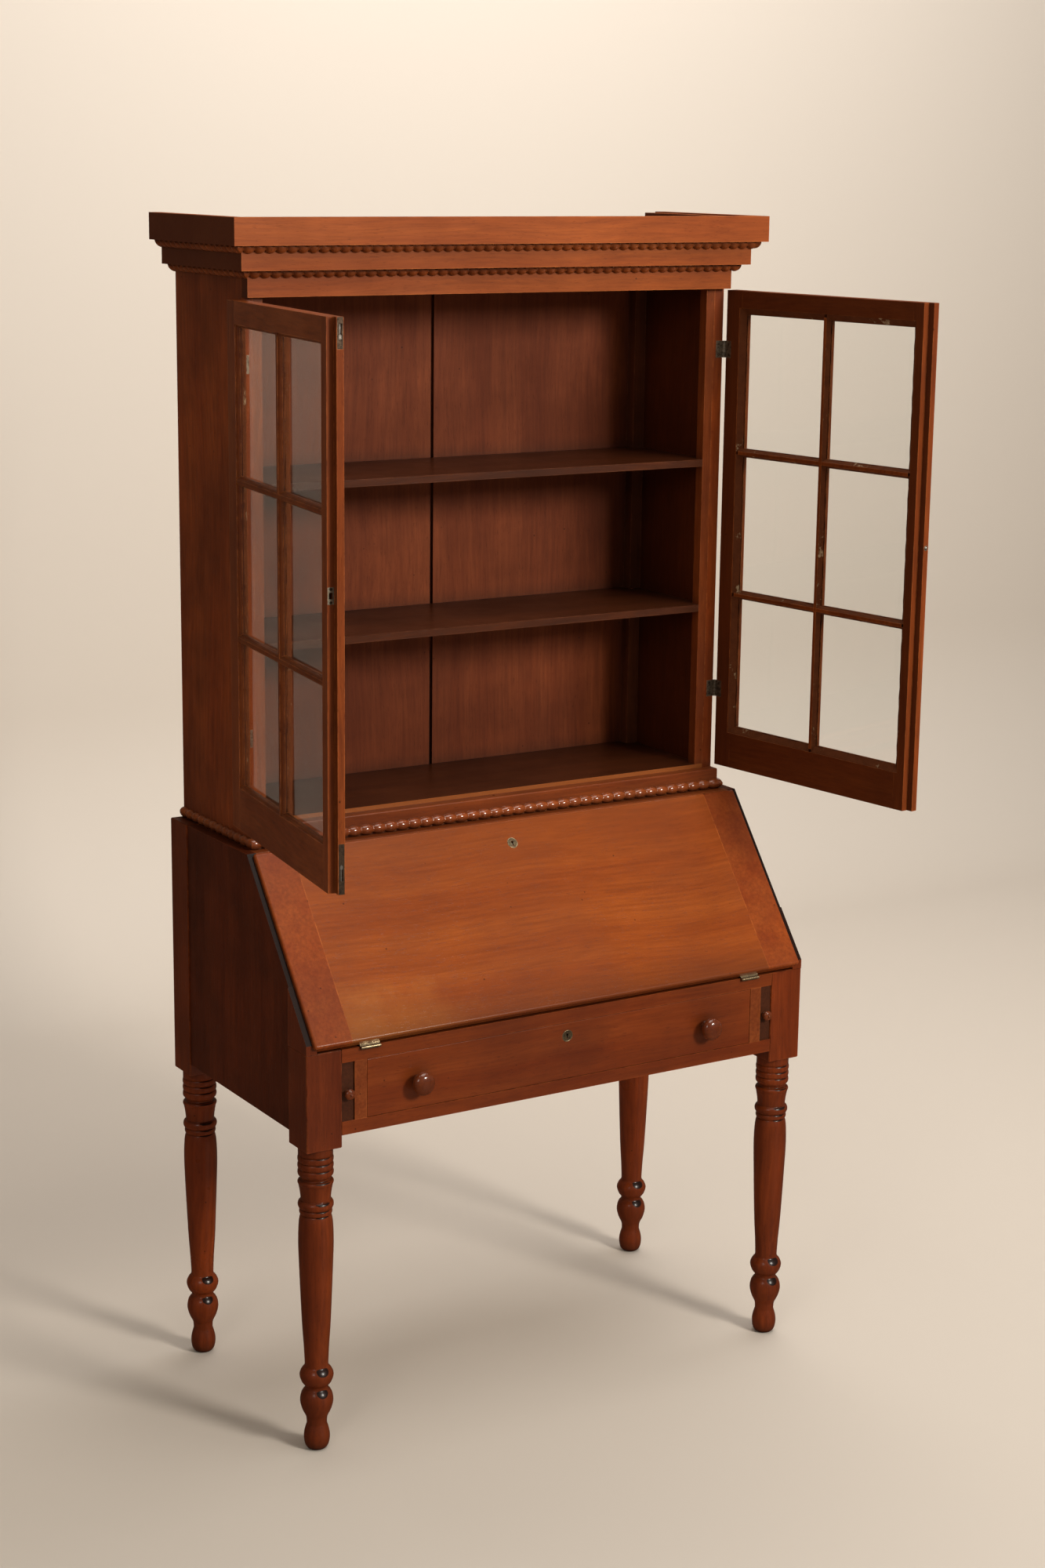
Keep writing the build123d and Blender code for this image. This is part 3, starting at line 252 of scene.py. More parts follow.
grain_turns = {"z": (0, 0, 0), "x": (0, pi / 2, 0), "y": (pi / 2, 0, 0)}
slope_foot, slope_rise, slope_run = 0.751, 0.283, 0.223
slant = atan2(slope_rise, slope_run)
grain_turns["slope"] = (-(pi / 2 - slant), 0, 0)
door_angle = radians(98)
woods = {}
slope_edge = ((0, -sin(slant), cos(slant)), 0.94, (0.006, 0.003, 0.002))
# Painted shade: the cornice's end faces, turned from the light, are painted darker.
shaded_cornice_ends = tuple(((way, 0, 0), 0.8, (0.06, 0.012, 0.004)) for way in (-1, 1))
# Painted shade: the inner faces of the open doors, turned from the light, are painted darker.
shaded_door_insides = {side: ((-side * sin(door_angle), cos(door_angle), 0), 0.6, (0.045, 0.011, 0.004))
                for side in (-1, 1)}


def wood(name, dark, mid, light, along, figure=0.5, grain=0.5, blotch=0.4, knots=0.0, gloss=0.32, wear=0.5,
         dirt=0.6, coat=0.12, coat_rough=0.18, dark_faces=()):
    """A shellacked wood with its grain along x, y, z or the slope. Colours are linear.

    dark_faces lists (direction, share, colour) for faces that another finish covers, mostly an older, darker one,
    and for faces painted in shade because they are turned from the light.
    """
    material = bpy.data.materials.new(name)
    tree, shader = principled(material)
    space = node(tree, "ShaderNodeTexCoord").outputs["Object"]
    turned = node(tree, "ShaderNodeMapping", Vector=space, Rotation=grain_turns[along]).outputs[0]
    body = node(tree, "ShaderNodeGroup", {"node_tree": wood_group}, Vector=turned, Dark=(*dark, 1),
                Mid=(*mid, 1), Light=(*light, 1), Figure=figure, Grain=grain, Blotch=blotch,
                Knots=knots).outputs
    # Hollows darken partly with soil and partly as painted shade; edges are rubbed pale.
    edges = node(tree, "ShaderNodeGroup", {"node_tree": edge_group}, Color=body["Color"], Wear=wear,
                 Worn=(*[min(1.0, channel * 1.7) for channel in light], 1), Dirt=dirt).outputs
    tone = edges["Color"]
    # Faces turned one way take another colour: another finish on some, painted shade on those turned from the
    # light.
    for direction, share, colour in dark_faces:
        facing = node(tree, "ShaderNodeTexCoord").outputs["Normal"]
        facing = node(tree, "ShaderNodeVectorMath", {"operation": "DOT_PRODUCT"}, i0=facing,
                      i1=direction).outputs["Value"]
        covered_or_shaded = math(tree, "GREATER_THAN", facing, 0.93)
        tone = blend(tree, math(tree, "MULTIPLY", covered_or_shaded, share), tone, colour)
    tree.links.new(tone, shader.inputs["Base Color"])
    rough = math(tree, "ADD", body["Roughness"], gloss)
    rough = math(tree, "ADD", rough, math(tree, "MULTIPLY", edges["Edge"], 0.15))
    tree.links.new(rough, shader.inputs["Roughness"])
    bump = node(tree, "ShaderNodeBump", Strength=0.25, Distance=0.0006, Height=body["Height"])
    tree.links.new(bump.outputs[0], shader.inputs["Normal"])
    shader.inputs["Specular IOR Level"].default_value = 0.14
    shader.inputs["Coat Weight"].default_value = coat
    shader.inputs["Coat Roughness"].default_value = coat_rough
    woods[name] = material
    return material


def finish(name, material):
    """Give a carried-over node its material."""
    data = frame["nodes"][name].data
    data.materials.clear()
    data.materials.append(material)


red = dict(dark=(0.060, 0.012, 0.004), mid=(0.235, 0.056, 0.014), light=(0.36, 0.105, 0.026))
brown = dict(dark=(0.022, 0.007, 0.003), mid=(0.075, 0.022, 0.009), light=(0.13, 0.040, 0.015))

wood("case_sides", along="z", dark=(0.055, 0.012, 0.004), mid=(0.29, 0.060, 0.012), light=(0.42, 0.108, 0.021),
     blotch=0.55, gloss=0.36)
wood("lower_sides", along="z", dark=(0.03, 0.007, 0.003), mid=(0.115, 0.020, 0.005), light=(0.18, 0.038, 0.009),
     blotch=0.6, gloss=0.3, dark_faces=(slope_edge,))
wood("cross_red", along="x", **red)
wood("upright_red", along="z", **red)
wood("depth_red", along="y", **red)
wood("cornice_front", along="x", dark=(0.12, 0.026, 0.006), mid=(0.36, 0.090, 0.018),
     light=(0.50, 0.155, 0.032), figure=0.4, blotch=0.3, gloss=0.45, dirt=0.8, dark_faces=shaded_cornice_ends)
wood("inside_back", along="z", dark=(0.06, 0.014, 0.006), mid=(0.20, 0.050, 0.018), light=(0.32, 0.092, 0.034),
     figure=0.6, grain=0.45, blotch=0.5, knots=0.5, gloss=0.5, wear=0.2, dirt=0.8, coat=0.0)
wood("inside_shelf", along="x", **brown, gloss=0.36, wear=0.6, blotch=0.5)
wood("inside_floor", along="x", **brown, gloss=0.36, wear=0.6, blotch=0.5,
     dark_faces=(((0, -1, 0), 0.85, (0.34, 0.10, 0.024)),))
wood("inside_plain", along="x", dark=(0.07, 0.03, 0.015), mid=(0.22, 0.10, 0.045), light=(0.32, 0.17, 0.08),
     gloss=0.55, coat=0.0, wear=0.2)
wood("inside_upright", along="z", dark=(0.05, 0.014, 0.006), mid=(0.17, 0.05, 0.02), light=(0.27, 0.10, 0.045),
     gloss=0.5, coat=0.05, blotch=0.6)
wood("fall_end_wood", along="slope", dark=(0.10, 0.020, 0.005), mid=(0.29, 0.060, 0.012),
     light=(0.43, 0.115, 0.022), figure=0.6, gloss=0.3, coat=0.2)
wood("drawer_wood", along="x", dark=(0.06, 0.012, 0.004), mid=(0.18, 0.034, 0.007), light=(0.27, 0.066, 0.014),
     figure=0.7, grain=0.4, blotch=0.45, gloss=0.32, coat=0.2)
wood("leg_wood", along="z", dark=(0.05, 0.010, 0.003), mid=(0.20, 0.037, 0.008), light=(0.31, 0.068, 0.015),
     blotch=0.5, gloss=0.27, wear=0.35, dirt=0.9, coat=0.3, dark_faces=(slope_edge,))
for side, hand in ((-1, "left"), (1, "right")):
    wood(f"{hand}_door_upright", along="z", **red, blotch=0.35, wear=0.7, dark_faces=(shaded_door_insides[side],))
    wood(f"{hand}_door_cross", along="y", **red, blotch=0.35, wear=0.7, dark_faces=(shaded_door_insides[side],))
wood("loper_wood", along="y", **brown, gloss=0.45, wear=0.4)



def paint_over(material):
    """The tree, shader and present base colour of a finished wood."""
    shader = next(item for item in material.node_tree.nodes if item.type == "BSDF_PRINCIPLED")
    return material.node_tree, shader, shader.inputs["Base Color"].links[0].from_socket


# The fall's main board has broad, soft, nearly level figure, and a paler patch low on its left.
fall_wood = wood("fall_wood", along="x", dark=(0.11, 0.023, 0.006), mid=(0.31, 0.074, 0.0135),
                 light=(0.46, 0.135, 0.026), figure=0.45, grain=0.42, blotch=0.32, gloss=0.28, dirt=0.5,
                 coat=0.25)
tree, shader, below = paint_over(fall_wood)
space = node(tree, "ShaderNodeTexCoord").outputs["Object"]
ragged = node(tree, "ShaderNodeTexNoise", Vector=space, Scale=16.0, Detail=6.0, Roughness=0.65).outputs["Color"]
drift = node(tree, "ShaderNodeVectorMath", {"operation": "MULTIPLY_ADD"}, i0=ragged, i1=(0.22, 0.05, 0.10),
             i2=space).outputs[0]
near = node(tree, "ShaderNodeMapping", {"vector_type": "POINT"}, Vector=drift, Location=(1.15, 0.0, -6.95),
            Scale=(3.8, 0.0, 9.0)).outputs[0]
patch = node(tree, "ShaderNodeVectorMath", {"operation": "LENGTH"}, i0=near).outputs["Value"]
patch = node(tree, "ShaderNodeMapRange", i0=patch, i1=0.3, i2=1.0, i3=0.75, i4=0.0).outputs[0]
tone = blend(tree, math(tree, "MULTIPLY", patch, 0.7), below, (0.55, 0.20, 0.042))
height = node(tree, "ShaderNodeSeparateXYZ", Vector=space).outputs
# Darker towards the bottom of the board, and a little darker towards its top.
height_darkening = node(tree, "ShaderNodeMapRange", i0=height[2], i1=0.745, i2=0.80, i3=0.7, i4=0.0).outputs[0]
tone = blend(tree, height_darkening, tone, (0.10, 0.022, 0.006))
height_darkening = node(tree, "ShaderNodeMapRange", i0=height[2], i1=0.95, i2=1.04, i3=0.0, i4=0.35).outputs[0]
tone = blend(tree, height_darkening, tone, (0.22, 0.055, 0.012))
tree.links.new(tone, shader.inputs["Base Color"])

# Painted shade: inside the bookcase the inward faces of the side boards are painted nearly black.
tree, shader, below = paint_over(woods["case_sides"])
coordinates = node(tree, "ShaderNodeTexCoord").outputs
across = node(tree, "ShaderNodeSeparateXYZ", Vector=coordinates["Object"]).outputs[0]
facing = node(tree, "ShaderNodeSeparateXYZ", Vector=coordinates["Normal"]).outputs[0]
inward_shade = math(tree, "LESS_THAN", math(tree, "MULTIPLY", across, facing), -0.2)
tone = blend(tree, math(tree, "MULTIPLY", inward_shade, 0.75), below, (0.035, 0.008, 0.003))
tree.links.new(tone, shader.inputs["Base Color"])

for name, material in {
        "side_panels": "lower_sides", "case_back_panel": "inside_plain", "desk_top": "cross_red",
        "writing_board": "cross_red", "front_rails": "drawer_wood", "loper_partitions": "depth_red",
        "drawer_runners": "inside_plain", "pigeonhole_boards": "inside_plain",
        "pigeonhole_valances": "cross_red",
        "bookcase_sides": "case_sides", "bookcase_top_board": "inside_plain", "bookcase_floor": "inside_floor",
        "back_boards": "inside_back", "face_stiles": "upright_red", "corner_strips": "inside_upright",
        "upper_shelf": "inside_shelf", "lower_shelf": "inside_shelf", "base_band": "cross_red",
        "frieze": "cornice_front", "lower_fascia": "cornice_front", "upper_fascia": "cornice_front",
        "left_door_stiles": "left_door_upright", "right_door_stiles": "right_door_upright",
        "left_door_rails": "left_door_cross", "right_door_rails": "right_door_cross",
        "fall_board": "fall_wood", "fall_end_boards": "fall_end_wood", "drawer_front": "drawer_wood",
        "drawer_box": "inside_plain", "left_loper": "loper_wood", "right_loper": "loper_wood",
        "left_small_drawer": "cross_red", "right_small_drawer": "cross_red"}.items():
    finish(name, woods[material])

# ---------------------------------------------------------------- metals and glass
# Keyhole plates are brass gone dull brown, and the catch is rubbed brighter. The doors' hinges are
# bronzed, the bolt plates dark iron. The panes are old window glass, very slightly wavy.


def metal(name, base, spots, rough, bright=0.0):
    """Aged metal: dull, spotted, and rubbed bright on its edges."""
    material = bpy.data.materials.new(name)
    tree, shader = principled(material)
    space = node(tree, "ShaderNodeTexCoord").outputs["Object"]
    cloud = node(tree, "ShaderNodeTexNoise", Vector=space, Scale=180.0, Detail=5.0,
                 Roughness=0.7).outputs["Fac"]
    cloud = node(tree, "ShaderNodeMapRange", i0=cloud, i1=0.4, i2=0.62).outputs[0]
    tone = blend(tree, cloud, base, spots)
    worn = tuple(min(1.0, channel * 1.6 + bright) for channel in base)
    # The edge group also darkens hollows: partly tarnish, partly painted shade.
    edges = node(tree, "ShaderNodeGroup", {"node_tree": edge_group}, Color=tone, Wear=0.8, Breadth=0.0007,
                 Worn=(*worn, 1), Dirt=0.5).outputs
    tree.links.new(edges["Color"], shader.inputs["Base Color"])
    tree.links.new(math(tree, "MULTIPLY_ADD", cloud, 0.2), shader.inputs["Roughness"])
    shader.inputs["Roughness"].links[0].from_node.inputs[2].default_value = rough
    shader.inputs["Metallic"].default_value = 0.9
    bump = node(tree, "ShaderNodeBump", Strength=0.3, Distance=0.0002, Height=cloud)
    tree.links.new(bump.outputs[0], shader.inputs["Normal"])
    return material


aged_brass = metal("aged_brass", (0.44, 0.34, 0.20), (0.17, 0.12, 0.07), 0.3)
dull_brass = metal("dull_brass", (0.25, 0.19, 0.11), (0.08, 0.055, 0.035), 0.32, 0.25)
dark_iron = metal("dark_iron", (0.13, 0.085, 0.055), (0.05, 0.034, 0.024), 0.4, 0.06)
bronze = metal("bronze", (0.36, 0.29, 0.21), (0.11, 0.085, 0.06), 0.28, 0.2)
dull_steel = metal("dull_steel", (0.45, 0.42, 0.38), (0.2, 0.17, 0.14), 0.3)
rubbed_brass = metal("rubbed_brass", (0.68, 0.60, 0.46), (0.34, 0.27, 0.18), 0.24)
for name in ("catch_barrel", "strike_plate"):
    finish(name, rubbed_brass)
for name in ("case_fall_hinges", "fall_hinges"):
    finish(name, aged_brass)
for name in ("drawer_lock", "fall_lock"):
    finish(name, dull_brass)
for name in ("case_door_hinges", "left_door_hinges", "right_door_hinges"):
    finish(name, bronze)
finish("flush_bolt_plates", dark_iron)
for name in ("upper_flush_bolt", "lower_flush_bolt", "catch_ball"):
    finish(name, dull_steel)

window_glass = bpy.data.materials.new("window_glass")
tree, shader = principled(window_glass)
shader.inputs["Base Color"].default_value = (0.97, 0.985, 0.975, 1)
shader.inputs["Roughness"].default_value = 0.02
shader.inputs["Transmission Weight"].default_value = 1.0
shader.inputs["IOR"].default_value = 1.45
space = node(tree, "ShaderNodeTexCoord").outputs["Object"]
wave = node(tree, "ShaderNodeTexNoise", Vector=space, Scale=7.0, Detail=1.0).outputs["Fac"]
bump = node(tree, "ShaderNodeBump", Strength=0.06, Distance=0.004, Height=wave)
tree.links.new(bump.outputs[0], shader.inputs["Normal"])
for name in ("left_door_panes", "right_door_panes"):
    finish(name, window_glass)

# ---------------------------------------------------------------- turned legs
# Each leg is one length of wood: square where the rails meet it, then turned with three rings, a
# vase, a long swelling shaft, a disc and a ball foot.


def new_piece(name, shape, material, body, replaced=(), smooth=True):
    """Turn a bmesh into a finished piece that rides on a body."""
    data = bpy.data.meshes.new(name)
    bmesh.ops.recalc_face_normals(shape, faces=shape.faces)
    shape.to_mesh(data)
    shape.free()
    if smooth:
        data.shade_smooth()
    data.materials.append(material)
    piece = bpy.data.objects.new(name, data)
    bpy.context.scene.collection.objects.link(piece)
    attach(piece, body)
    if replaced:
        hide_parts(*replaced)
    return piece


def turning(shape, profile, place, axis=(0, 0, 1), steps=48):
    """Turn a profile of (radius, height) round an axis through a place, and close its poles."""
    axis = Vector(axis).normalized()
    turn = axis.to_track_quat("Z", "Y").to_matrix()
    rings = []
    for radius, height in profile:
        if radius < 1e-6:
            rings.append([shape.verts.new(Vector(place) + turn @ Vector((0, 0, height)))])
            continue
        rings.append([shape.verts.new(Vector(place) + turn @ Vector((
            radius * cos(2 * pi * step / steps), radius * sin(2 * pi * step / steps), height)))
            for step in range(steps)])
    for low, high in zip(rings, rings[1:]):
        for step in range(steps):
            after = (step + 1) % steps
            corners = [low[step % len(low)], low[after % len(low)], high[after % len(high)],
                       high[step % len(high)]]
            unique = list(dict.fromkeys(corners))
            if len(unique) > 2:
                shape.faces.new(unique)


def curve_profile(points, steps=5):
    """Smooth a list of (radius, height, kind): kind 0 is a corner, kind 1 flows through."""
    line = []
    for index in range(len(points) - 1):
        here, after = points[index], points[index + 1]
        before = points[index - 1] if index and here[2] else here
        later = points[index + 2] if index + 2 < len(points) and after[2] else after
        for step in range(steps):
            t = step / steps
            spot = []
            for axis in (0, 1):
                p0, p1, p2, p3 = before[axis], here[axis], after[axis], later[axis]
                spot.append(0.5 * (2 * p1 + (p2 - p0) * t + (2 * p0 - 5 * p1 + 4 * p2 - p3) * t * t
                                   + (3 * p1 - p0 - 3 * p2 + p3) * t ** 3))
            line.append((max(spot[0], 0.0), spot[1]))
    line.append(points[-1][:2])
    return line


def bead(low, high, neck, crown):
    """A round bead between two heights."""
    middle, half = (low + high) / 2, (high - low) / 2
    return [(neck + (crown - neck) * cos(angle), middle + half * sin(angle), 0)
            for angle in (-pi / 2 + step * pi / 8 for step in range(9))]


leg_points = [(0, 0, 0), (13, 0, 0), (17, 2.5, 1), (21, 9, 1), (22.9, 22, 1), (21.6, 34, 1), (17.6, 48, 0)]
leg_points += [(17.8, 50.5, 0), (19, 61, 1), (25.2, 74, 1), (29.1, 90, 1), (26.6, 105, 1), (19.9, 114.5, 0)]
leg_points += [(20.6, 119.5, 0), (26, 126, 1), (29.8, 138.5, 1), (26.5, 148.5, 1), (21.2, 155, 0)]
leg_points += [(20.6, 160, 0), (22.0, 191, 1), (25.2, 240, 1), (29.3, 339, 1), (30.7, 388, 1), (29.3, 424, 1),
               (26.2, 437.5, 0)]
leg_points += bead(437.5, 447.5, 26.2, 28.7) + bead(447.5, 463, 26.0, 31.1)
leg_points += [(26.1, 467, 0), (27.4, 479, 1), (29.8, 492, 0), (31.0, 494.5, 1), (30.6, 498.5, 1),
               (25.4, 501, 0), (25.2, 503.5, 0), (28.6, 507.4, 0)]
for number in range(3):
    leg_points += bead(508.0 + 12.2 * number, 520.2 + 12.2 * number, 28.6, 31.2)
leg_points += [(30.2, 544.8, 0), (30.2, 560.5, 0)]
leg_line = [(radius / 1000, height / 1000) for radius, height in curve_profile(leg_points, 3)]


def post_shape(shape, name, slanted):
    """The square post over a leg, from its CAD box, with softened edges.

    A front post also carries a thin ear that follows the slope of the fall.
    """
    low, high = (Vector(corner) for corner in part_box(name))
    width, ear, soft = 0.0675, 0.02, 0.0012
    turned_top, rail_top = 0.56, 0.735
    left = low.x < 0
    outer, inner = (low.x, low.x + width) if left else (high.x, high.x - width)
    verts = [shape.verts.new((x, y, z)) for x in sorted((outer, inner)) for y in (low.y, low.y + width)
             for z in (turned_top, rail_top if slanted else high.z)]
    faces = [(0, 1, 3, 2), (4, 6, 7, 5), (0, 4, 5, 1), (2, 3, 7, 6), (0, 2, 6, 4), (1, 5, 7, 3)]
    made = [shape.faces.new([verts[i] for i in face]) for face in faces]
    edges = list({edge for face in made for edge in face.edges})
    bmesh.ops.bevel(shape, geom=edges, offset=soft, segments=2, affect="EDGES", clamp_overlap=True)
    if slanted:
        slope_y = low.y + width
        ear_x = (outer, outer + ear) if left else (outer - ear, outer)
        side_view = [(low.y, rail_top - 0.0005), (slope_y, rail_top - 0.0005),
                     (slope_y, slope_foot + width * slope_rise / slope_run), (low.y, slope_foot)]
        rings = [[shape.verts.new((x, y, z)) for y, z in side_view] for x in ear_x]
        for ring in rings:
            shape.faces.new(ring)
        for i in range(4):
            shape.faces.new((rings[0][i], rings[0][(i + 1) % 4], rings[1][(i + 1) % 4], rings[1][i]))


for hand in ("left", "right"):
    for row in ("front", "back"):
        name = f"{row}_{hand}_leg"
        low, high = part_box(name)
        shape = bmesh.new()
        centre = ((low[0] + high[0]) / 2, (low[1] + high[1]) / 2, 0)
        turning(shape, leg_line, centre, steps=56)
        post_shape(shape, name, row == "front")
        piece = new_piece(f"turned_{name}", shape, woods["leg_wood"], "carcase", [name],
                          smooth=False)
        for face in piece.data.polygons:
            face.use_smooth = face.center.z < 0.5595

# ---------------------------------------------------------------- knobs
# Two large mushroom knobs turned from dark wood, and a small one with a nipple on each loper.
knob_wood = wood("knob_wood", along="y", dark=(0.05, 0.011, 0.004), mid=(0.15, 0.034, 0.010),
                 light=(0.25, 0.066, 0.018), gloss=0.22, wear=0.3, coat=1.0, coat_rough=0.08)


def mushroom(radius, height, stem, tenon, nipple=0.0):
    """Profile of a knob: stem through the wood, flared foot, neck, wide round head."""
    line = [(0, -tenon, 0), (stem * 0.8, -tenon, 0), (stem * 0.8, 0, 0), (stem * 1.25, 0, 0),
            (stem * 1.12, height * 0.1, 1), (stem, height * 0.24, 1), (radius * 0.62, height * 0.38, 1),
            (radius * 0.92, height * 0.47, 1), (radius, height * 0.62, 1), (radius * 0.93, height * 0.78, 1),
            (radius * 0.7, height * 0.915, 1), (radius * 0.35, height * 0.985, 1)]
    if nipple:
        line += [(nipple, height * 0.99, 0), (nipple, height * 1.0 + nipple * 0.4, 1)]
        line += [(nipple * 0.6, height + nipple * 1.1, 1), (0, height + nipple * 1.3, 1)]
    else:
        line += [(0, height, 1)]
    return curve_profile(line, 4)


def knob_centre(name):
    """Where a knob stands across the desk and up it."""
    low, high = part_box(name)
    return (low[0] + high[0]) / 2, (low[2] + high[2]) / 2


front_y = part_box("drawer_front")[0][1]
low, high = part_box("drawer_knobs")
shape = bmesh.new()
for x in (low[0] + 0.021, high[0] - 0.021):
    turning(shape, mushroom(0.021, 0.032, 0.009, 0.022), (x, front_y, (low[2] + high[2]) / 2), (0, -1, 0), 56)
new_piece("long_drawer_knobs", shape, knob_wood, "drawer", ["drawer_knobs"])
for hand in ("left", "right"):
    x, z = knob_centre(f"{hand}_loper_knob")
    shape = bmesh.new()
    face_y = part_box(f"{hand}_loper")[0][1]
    turning(shape, mushroom(0.0095, 0.0145, 0.0048, 0.012, 0.0022), (x, face_y, z), (0, -1, 0), 40)
    new_piece(f"{hand}_support_knob", shape, knob_wood, f"{hand}_loper", [f"{hand}_loper_knob"])

# ---------------------------------------------------------------- keyhole rims
# A raised rim is cast on each round keyhole plate, and catches the light.


def rim(name, body, place, facing, radius):
    """A thin rounded ring on a keyhole plate, facing the given way."""
    around, tube_steps = 40, 8
    half_wide, half_high = 0.0009, 0.0008
    shape = bmesh.new()
    axis = Vector(facing).normalized()
    turn = axis.to_track_quat("Z", "Y").to_matrix()
    rings = []
    for step in range(around):
        angle = step * 2 * pi / around
        ring = []
        for tube in (index * 2 * pi / tube_steps for index in range(tube_steps)):
            reach = radius + half_wide * cos(tube)
            spot = Vector((reach * cos(angle), reach * sin(angle), half_high * sin(tube)))
            ring.append(shape.verts.new(Vector(place) + turn @ spot))
        rings.append(ring)
    for step in range(around):
        after = rings[(step + 1) % around]
        for i in range(tube_steps):
            shape.faces.new((rings[step][i], after[i], after[(i + 1) % tube_steps],
                             rings[step][(i + 1) % tube_steps]))
    new_piece(name, shape, aged_brass, body)


rim("drawer_keyhole_rim", "drawer", (0.001, front_y, 0.686), (0, -1, 0), 0.0099)
plate_u, plate_v = 0.310, 0.0083
rim("fall_keyhole_rim", "fall", (-0.004, front_y + plate_u * cos(slant) - plate_v * sin(slant),
                                 slope_foot + plate_u * sin(slant) + plate_v * cos(slant)),
    (0, -sin(slant), cos(slant)), 0.0094)

# ---------------------------------------------------------------- rope mouldings
# Three twisted ropes, each carved from a length of wood, glued in the angle under a cornice board
# or along the foot of the bookcase, and mitred at the front corners.


def rope_tree():
    """Geometry nodes: a closed rod along X, cut into twisted strands."""
    tree = bpy.data.node_groups.new("twisted rope", "GeometryNodeTree")
    tree.interface.new_socket("Geometry", in_out="OUTPUT", socket_type="NodeSocketGeometry")
    for title, value in (("Length", 1.0), ("Radius", 0.0135), ("Pitch", 0.02), ("Depth", 0.2), ("Turn", 1.0)):
        socket = tree.interface.new_socket(title, in_out="INPUT", socket_type="NodeSocketFloat")
        socket.default_value = value
    steps = tree.interface.new_socket("Steps", in_out="INPUT", socket_type="NodeSocketInt")
    steps.default_value = 400
    socket = tree.interface.new_socket("Wood", in_out="INPUT", socket_type="NodeSocketMaterial")
    given = tree.nodes.new("NodeGroupInput").outputs
    out = tree.nodes.new("NodeGroupOutput")

    def calc(operation, a, b=0.0):
        return node(tree, "ShaderNodeMath", {"operation": operation}, i0=a, i1=b).outputs[0]

    end = node(tree, "ShaderNodeCombineXYZ", X=given["Length"]).outputs[0]
    line = node(tree, "GeometryNodeCurvePrimitiveLine", End=end).outputs[0]
    fine = node(tree, "GeometryNodeResampleCurve", Curve=line, Count=given["Steps"]).outputs[0]
    ring = node(tree, "GeometryNodeCurvePrimitiveCircle", Resolution=36, Radius=given["Radius"]).outputs[0]
    rod = node(tree, "GeometryNodeCurveToMesh", Curve=fine, Profile_Curve=ring, Fill_Caps=True).outputs[0]
    place = node(tree, "GeometryNodeInputPosition").outputs[0]
    split = node(tree, "ShaderNodeSeparateXYZ", Vector=place).outputs
    angle = calc("ARCTAN2", split[2], split[1])
    phase = calc("SUBTRACT", calc("DIVIDE", split[0], given["Pitch"]),
                 calc("MULTIPLY", calc("DIVIDE", angle, 2 * pi), given["Turn"]))
    wave = calc("POWER", calc("ABSOLUTE", calc("SINE", calc("MULTIPLY", phase, pi))), 0.7)
    shrink = calc("SUBTRACT", 1.0, calc("MULTIPLY", calc("SUBTRACT", 1.0, wave), given["Depth"]))
    carved = node(tree, "ShaderNodeCombineXYZ", X=split[0], Y=calc("MULTIPLY", split[1], shrink),
                  Z=calc("MULTIPLY", split[2], shrink)).outputs[0]
    moved = node(tree, "GeometryNodeSetPosition", Geometry=rod, Position=carved).outputs[0]
    real = node(tree, "GeometryNodeRealizeInstances", Geometry=moved).outputs[0]
    dressed = node(tree, "GeometryNodeSetMaterial", Geometry=real, Material=given["Wood"]).outputs[0]
    tree.links.new(dressed, out.inputs[0])
    return tree


twisted_rope = rope_tree()


def rope_mesh(**values):
    """Run the rope tree and return its plain mesh."""
    data = bpy.data.meshes.new("rope_seed")
    seed = bpy.data.objects.new("rope_seed", data)
    bpy.context.scene.collection.objects.link(seed)
    modifier = seed.modifiers.new("rope", "NODES")
    modifier.node_group = twisted_rope
    for item in twisted_rope.interface.items_tree:
        if item.in_out == "INPUT" and item.name in values:
            modifier[item.identifier] = values[item.name]
    graph = bpy.context.evaluated_depsgraph_get()
    made = bpy.data.meshes.new_from_object(seed.evaluated_get(graph))
    bpy.data.objects.remove(seed)
    return made


def rope_round(name, node_name, corner_x, corner_y, axis_z, radius, pitch, depth, material, turn=0.7):
    """A rope along the front and both sides of a box whose front corners are at corner_x, corner_y."""
    back_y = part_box(node_name)[1][1]
    shape = bmesh.new()
    across = 2 * (corner_x + radius)
    side = back_y - corner_y + radius
    middle = (0, corner_y - radius / 2, axis_z)
    # Each run has its length, its place, a point that it keeps, and the mitres at its corners.
    runs = [(across, Matrix.Translation((-corner_x - radius, corner_y, axis_z)), middle,
             ((corner_x, (1, 1, 0)), (-corner_x, (-1, 1, 0)))),
            (side, Matrix.Translation((corner_x, corner_y - radius, axis_z)) @ Matrix.Rotation(pi / 2, 4, "Z"),
             (corner_x, back_y, axis_z), ((corner_x, (-1, -1, 0)),)),
            (side, Matrix.Translation((-corner_x, back_y, axis_z)) @ Matrix.Rotation(-pi / 2, 4, "Z"),
             (-corner_x, back_y, axis_z), ((-corner_x, (1, -1, 0)),))]
    for run, place, kept, cuts in runs:
        made = rope_mesh(Length=run, Radius=radius, Pitch=pitch, Depth=depth, Turn=turn,
                         Steps=int(run / pitch * 13), Wood=material)
        part = bmesh.new()
        part.from_mesh(made)
        bmesh.ops.remove_doubles(part, verts=part.verts, dist=1e-6)
        part.transform(place)
        for corner, cut in cuts:
            spot = Vector((corner, corner_y, axis_z))
            normal = Vector(cut).normalized()
            if normal.dot(Vector(kept) - spot) > 0:
                normal = -normal
            geometry = list(part.verts) + list(part.edges) + list(part.faces)
            sliced = bmesh.ops.bisect_plane(part, geom=geometry, plane_co=spot, plane_no=normal,
                                            clear_outer=True)
            rim_edges = [item for item in sliced["geom_cut"] if isinstance(item, bmesh.types.BMEdge)]
            bmesh.ops.holes_fill(part, edges=rim_edges)
        scratch = bpy.data.meshes.new("scratch")
        part.to_mesh(scratch)
        part.free()
        shape.from_mesh(scratch)
    return new_piece(name, shape, material, "carcase", [node_name])


